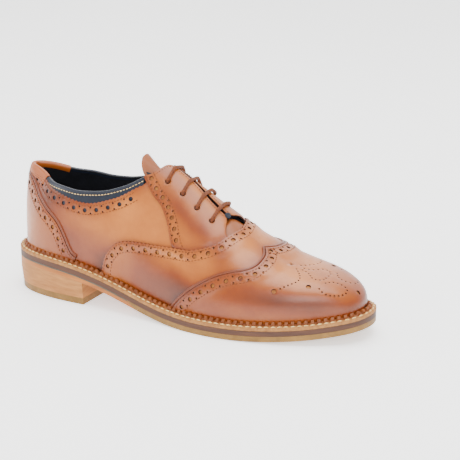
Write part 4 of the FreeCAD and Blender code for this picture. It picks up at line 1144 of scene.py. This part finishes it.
def welt():
    """The welt: its edge waves in time with the stitches, so the wave fades towards the inside."""
    flat_out = np.array([WELT_IN, 6.9, 7.6, 7.9, WELT_OUT, WELT_OUT, 7.8, WELT_IN])
    flat_up = np.array([-0.05, 0.0, -0.15, -0.45, -0.9, -2.1, -WELT_THICK, -WELT_THICK])
    wave_out = np.array([0, 0.3, 1, 1, 1, 0.6, 0.3, 0])
    wave_up = np.array([0, 0.5, 1, 1, 0.5, 0, 0, 0])

    def shape(phase):
        wave = 0.18 * np.cos(phase * 2 * math.pi)[:, None]
        return flat_out + wave * wave_out, flat_up + wave * wave_up
    swept("welt_strip", plan_sections(shape), [WELT_TAN], closed=True, stands_for=["welt"],
          slot="welt_leather")


def storm_rib():
    """The notched rib that closes the gap between welt and upper: rounded teeth at even pitch."""
    def shape(phase):
        beat = np.abs(phase % 1.0 - 0.5) * 2
        tooth = smooth((0.72 - beat) / 0.22)[:, None]
        out = np.array([1.0, 1.3, 2.2, 3.2, 4.1, 4.5, 4.6])[None] - (1 - tooth) * np.array(
            [0, 0, 0.6, 1.0, 1.3, 0.9, 0.1])
        up = np.array([-0.2, 2.0, 3.0, 3.1, 2.3, 1.0, -0.2])[None] * (0.34 + 0.66 * tooth)
        return out, up
    swept("storm_rib_teeth", plan_sections(shape), [RIB_TAN], closed=True, stands_for=["storm_rib"],
          slot="welt_leather")


def welt_stitches():
    here, normal, stops, total = plan_path()
    teeth = round(total / RIB_PITCH)
    places = np.linspace(0, total, teeth, endpoint=False) + 0.5 * total / teeth
    at = np.interp(places, stops, np.arange(PLAN_STEPS))
    k = at.astype(int) % PLAN_STEPS
    run = np.roll(here, -1, 0) - np.roll(here, 1, 0)
    spot = here[k] + normal[k] * 6.15
    ahead = run[k] / np.linalg.norm(run[k], axis=1)[:, None]
    slope = (feather_height(spot[:, 0] + ahead[:, 0]) - feather_height(spot[:, 0] - ahead[:, 0])) / 2
    runs = np.c_[ahead, slope]
    runs /= np.linalg.norm(runs, axis=1)[:, None]
    sides = np.c_[normal[k], np.zeros(len(k))]
    ups = np.cross(sides, runs)
    ups *= np.sign(ups[:, 2:])
    centres = np.c_[spot, feather_height(spot[:, 0]) + 0.12]
    rows = [(centres, runs, sides, ups, 4.3, 1.15)]
    add_piece("welt_lockstitch", *stitch_mesh(rows), [THREAD], stands_for=["welt_stitching"], slot="thread")


tongue()
lace()
throat_tack()
welt()
storm_rib()
welt_stitches()


# ---- carried-over CAD pieces --------------------------------------------------------------------
LOOKS = {
    "sock_liner": LINING, "vamp_lining": LINING, "tongue_lining": LINING, "insole": INSOLE,
    "insole_rib": INSOLE, "toe_puff": BOARD, "heel_stiffener": BOARD, "cork_filler": CORK, "shank": STEEL,
    "midsole": MIDSOLE, "slip_sole": SLIP, "outsole": OUTSOLE, "forefoot_sole": RUBBER,
    "heel_top_piece": RUBBER, "heel_nails": STEEL, "eyelets": BRASS, "lace_aglets": AGLET,
}
LOOKS.update({"heel_lift_%d" % k: HEEL for k in range(1, 5)})
for side in ("outer", "inner"):
    LOOKS["quarter_lining_" + side] = LOOKS["eyelet_stay_" + side] = LINING
for node, material in LOOKS.items():
    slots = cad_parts[node].data.materials
    if len(slots):
        for k in range(len(slots)):
            slots[k] = material
    else:
        slots.append(material)

# ---- floor, light and camera --------------------------------------------------------------------
FLOOR = mottled("studio_floor", [(0.3, "F7F7F6"), (0.7, "FCFCFB")], 3, 0.6, 0.00002, 60)
floor_shader = FLOOR.node_tree.nodes["Principled BSDF"]
floor_shader.inputs["Emission Color"].default_value = (1, 1, 1, 1)
floor_shader.inputs["Emission Strength"].default_value = 1.0


def studio_floor():
    """A pale floor that curves up behind the shoe."""
    profile = [(-4.0, 0.0), (2.2, 0.0)]
    bend = np.linspace(0.15, math.pi / 2, 10)
    profile += [(2.2 + 0.8 * math.sin(a), 0.8 - 0.8 * math.cos(a)) for a in bend]
    profile += [(3.0, 4.0)]
    points = [(x, y, z) for x in (-6.0, 6.0) for y, z in profile]
    count = len(profile)
    mesh = bpy.data.meshes.new("studio_floor")
    mesh.from_pydata(points, [], [[k, count + k, count + k + 1, k + 1] for k in range(count - 1)])
    mesh.materials.append(FLOOR)
    mesh.shade_smooth()
    floor = bpy.data.objects.new("studio_floor", mesh)
    bpy.context.scene.collection.objects.link(floor)
    floor.rotation_euler = (0, 0, math.radians(27.4))


def lamp(name, place, target, size, power, tint=(1, 1, 1)):
    light = bpy.data.lights.new(name, "AREA")
    light.shape, light.size, light.size_y = "RECTANGLE", size[0], size[1]
    light.energy, light.color = power, tint
    holder = bpy.data.objects.new(name, light)
    bpy.context.scene.collection.objects.link(holder)
    holder.location = place
    holder.rotation_mode = "QUATERNION"
    holder.rotation_quaternion = (Vector(target) - Vector(place)).to_track_quat("-Z", "Y")


studio_floor()
lamp("top_softbox", (0.1, 0.1, 1.5), (0, 0, 0.05), (1.6, 1.2), 40)
lamp("front_softbox", (0.9, -1.5, 1.0), (0, 0, 0.05), (1.2, 1.0), 27)
lamp("left_softbox", (-1.5, -0.8, 0.9), (0, 0, 0.05), (0.9, 0.9), 12)
world = bpy.data.worlds.new("studio")
bpy.context.scene.world = world
world.use_nodes = True
world.node_tree.nodes["Background"].inputs["Color"].default_value = (1, 1, 1, 1)
world.node_tree.nodes["Background"].inputs["Strength"].default_value = 0.8

AZIMUTH, ELEVATION, DISTANCE, LENS = math.radians(27.4), math.radians(18.1), 1.130, 112.15
AIM = to_row([[150, 0, 50]])[0]
back = Vector((math.sin(AZIMUTH) * math.cos(ELEVATION), -math.cos(AZIMUTH) * math.cos(ELEVATION),
               math.sin(ELEVATION)))
right = Vector((math.cos(AZIMUTH), math.sin(AZIMUTH), 0))
up = back.cross(right)
camera = bpy.data.objects.new("camera", bpy.data.cameras.new("camera"))
bpy.context.scene.collection.objects.link(camera)
bpy.context.scene.camera = camera
camera.data.lens, camera.data.sensor_width = LENS, 36
camera.data.clip_start, camera.data.clip_end = 0.05, 20
camera.location = Vector(AIM) + right * 0.0246 + up * 0.0134 + back * DISTANCE
camera.rotation_mode = "QUATERNION"
camera.rotation_quaternion = (-back).to_track_quat("-Z", "Y")
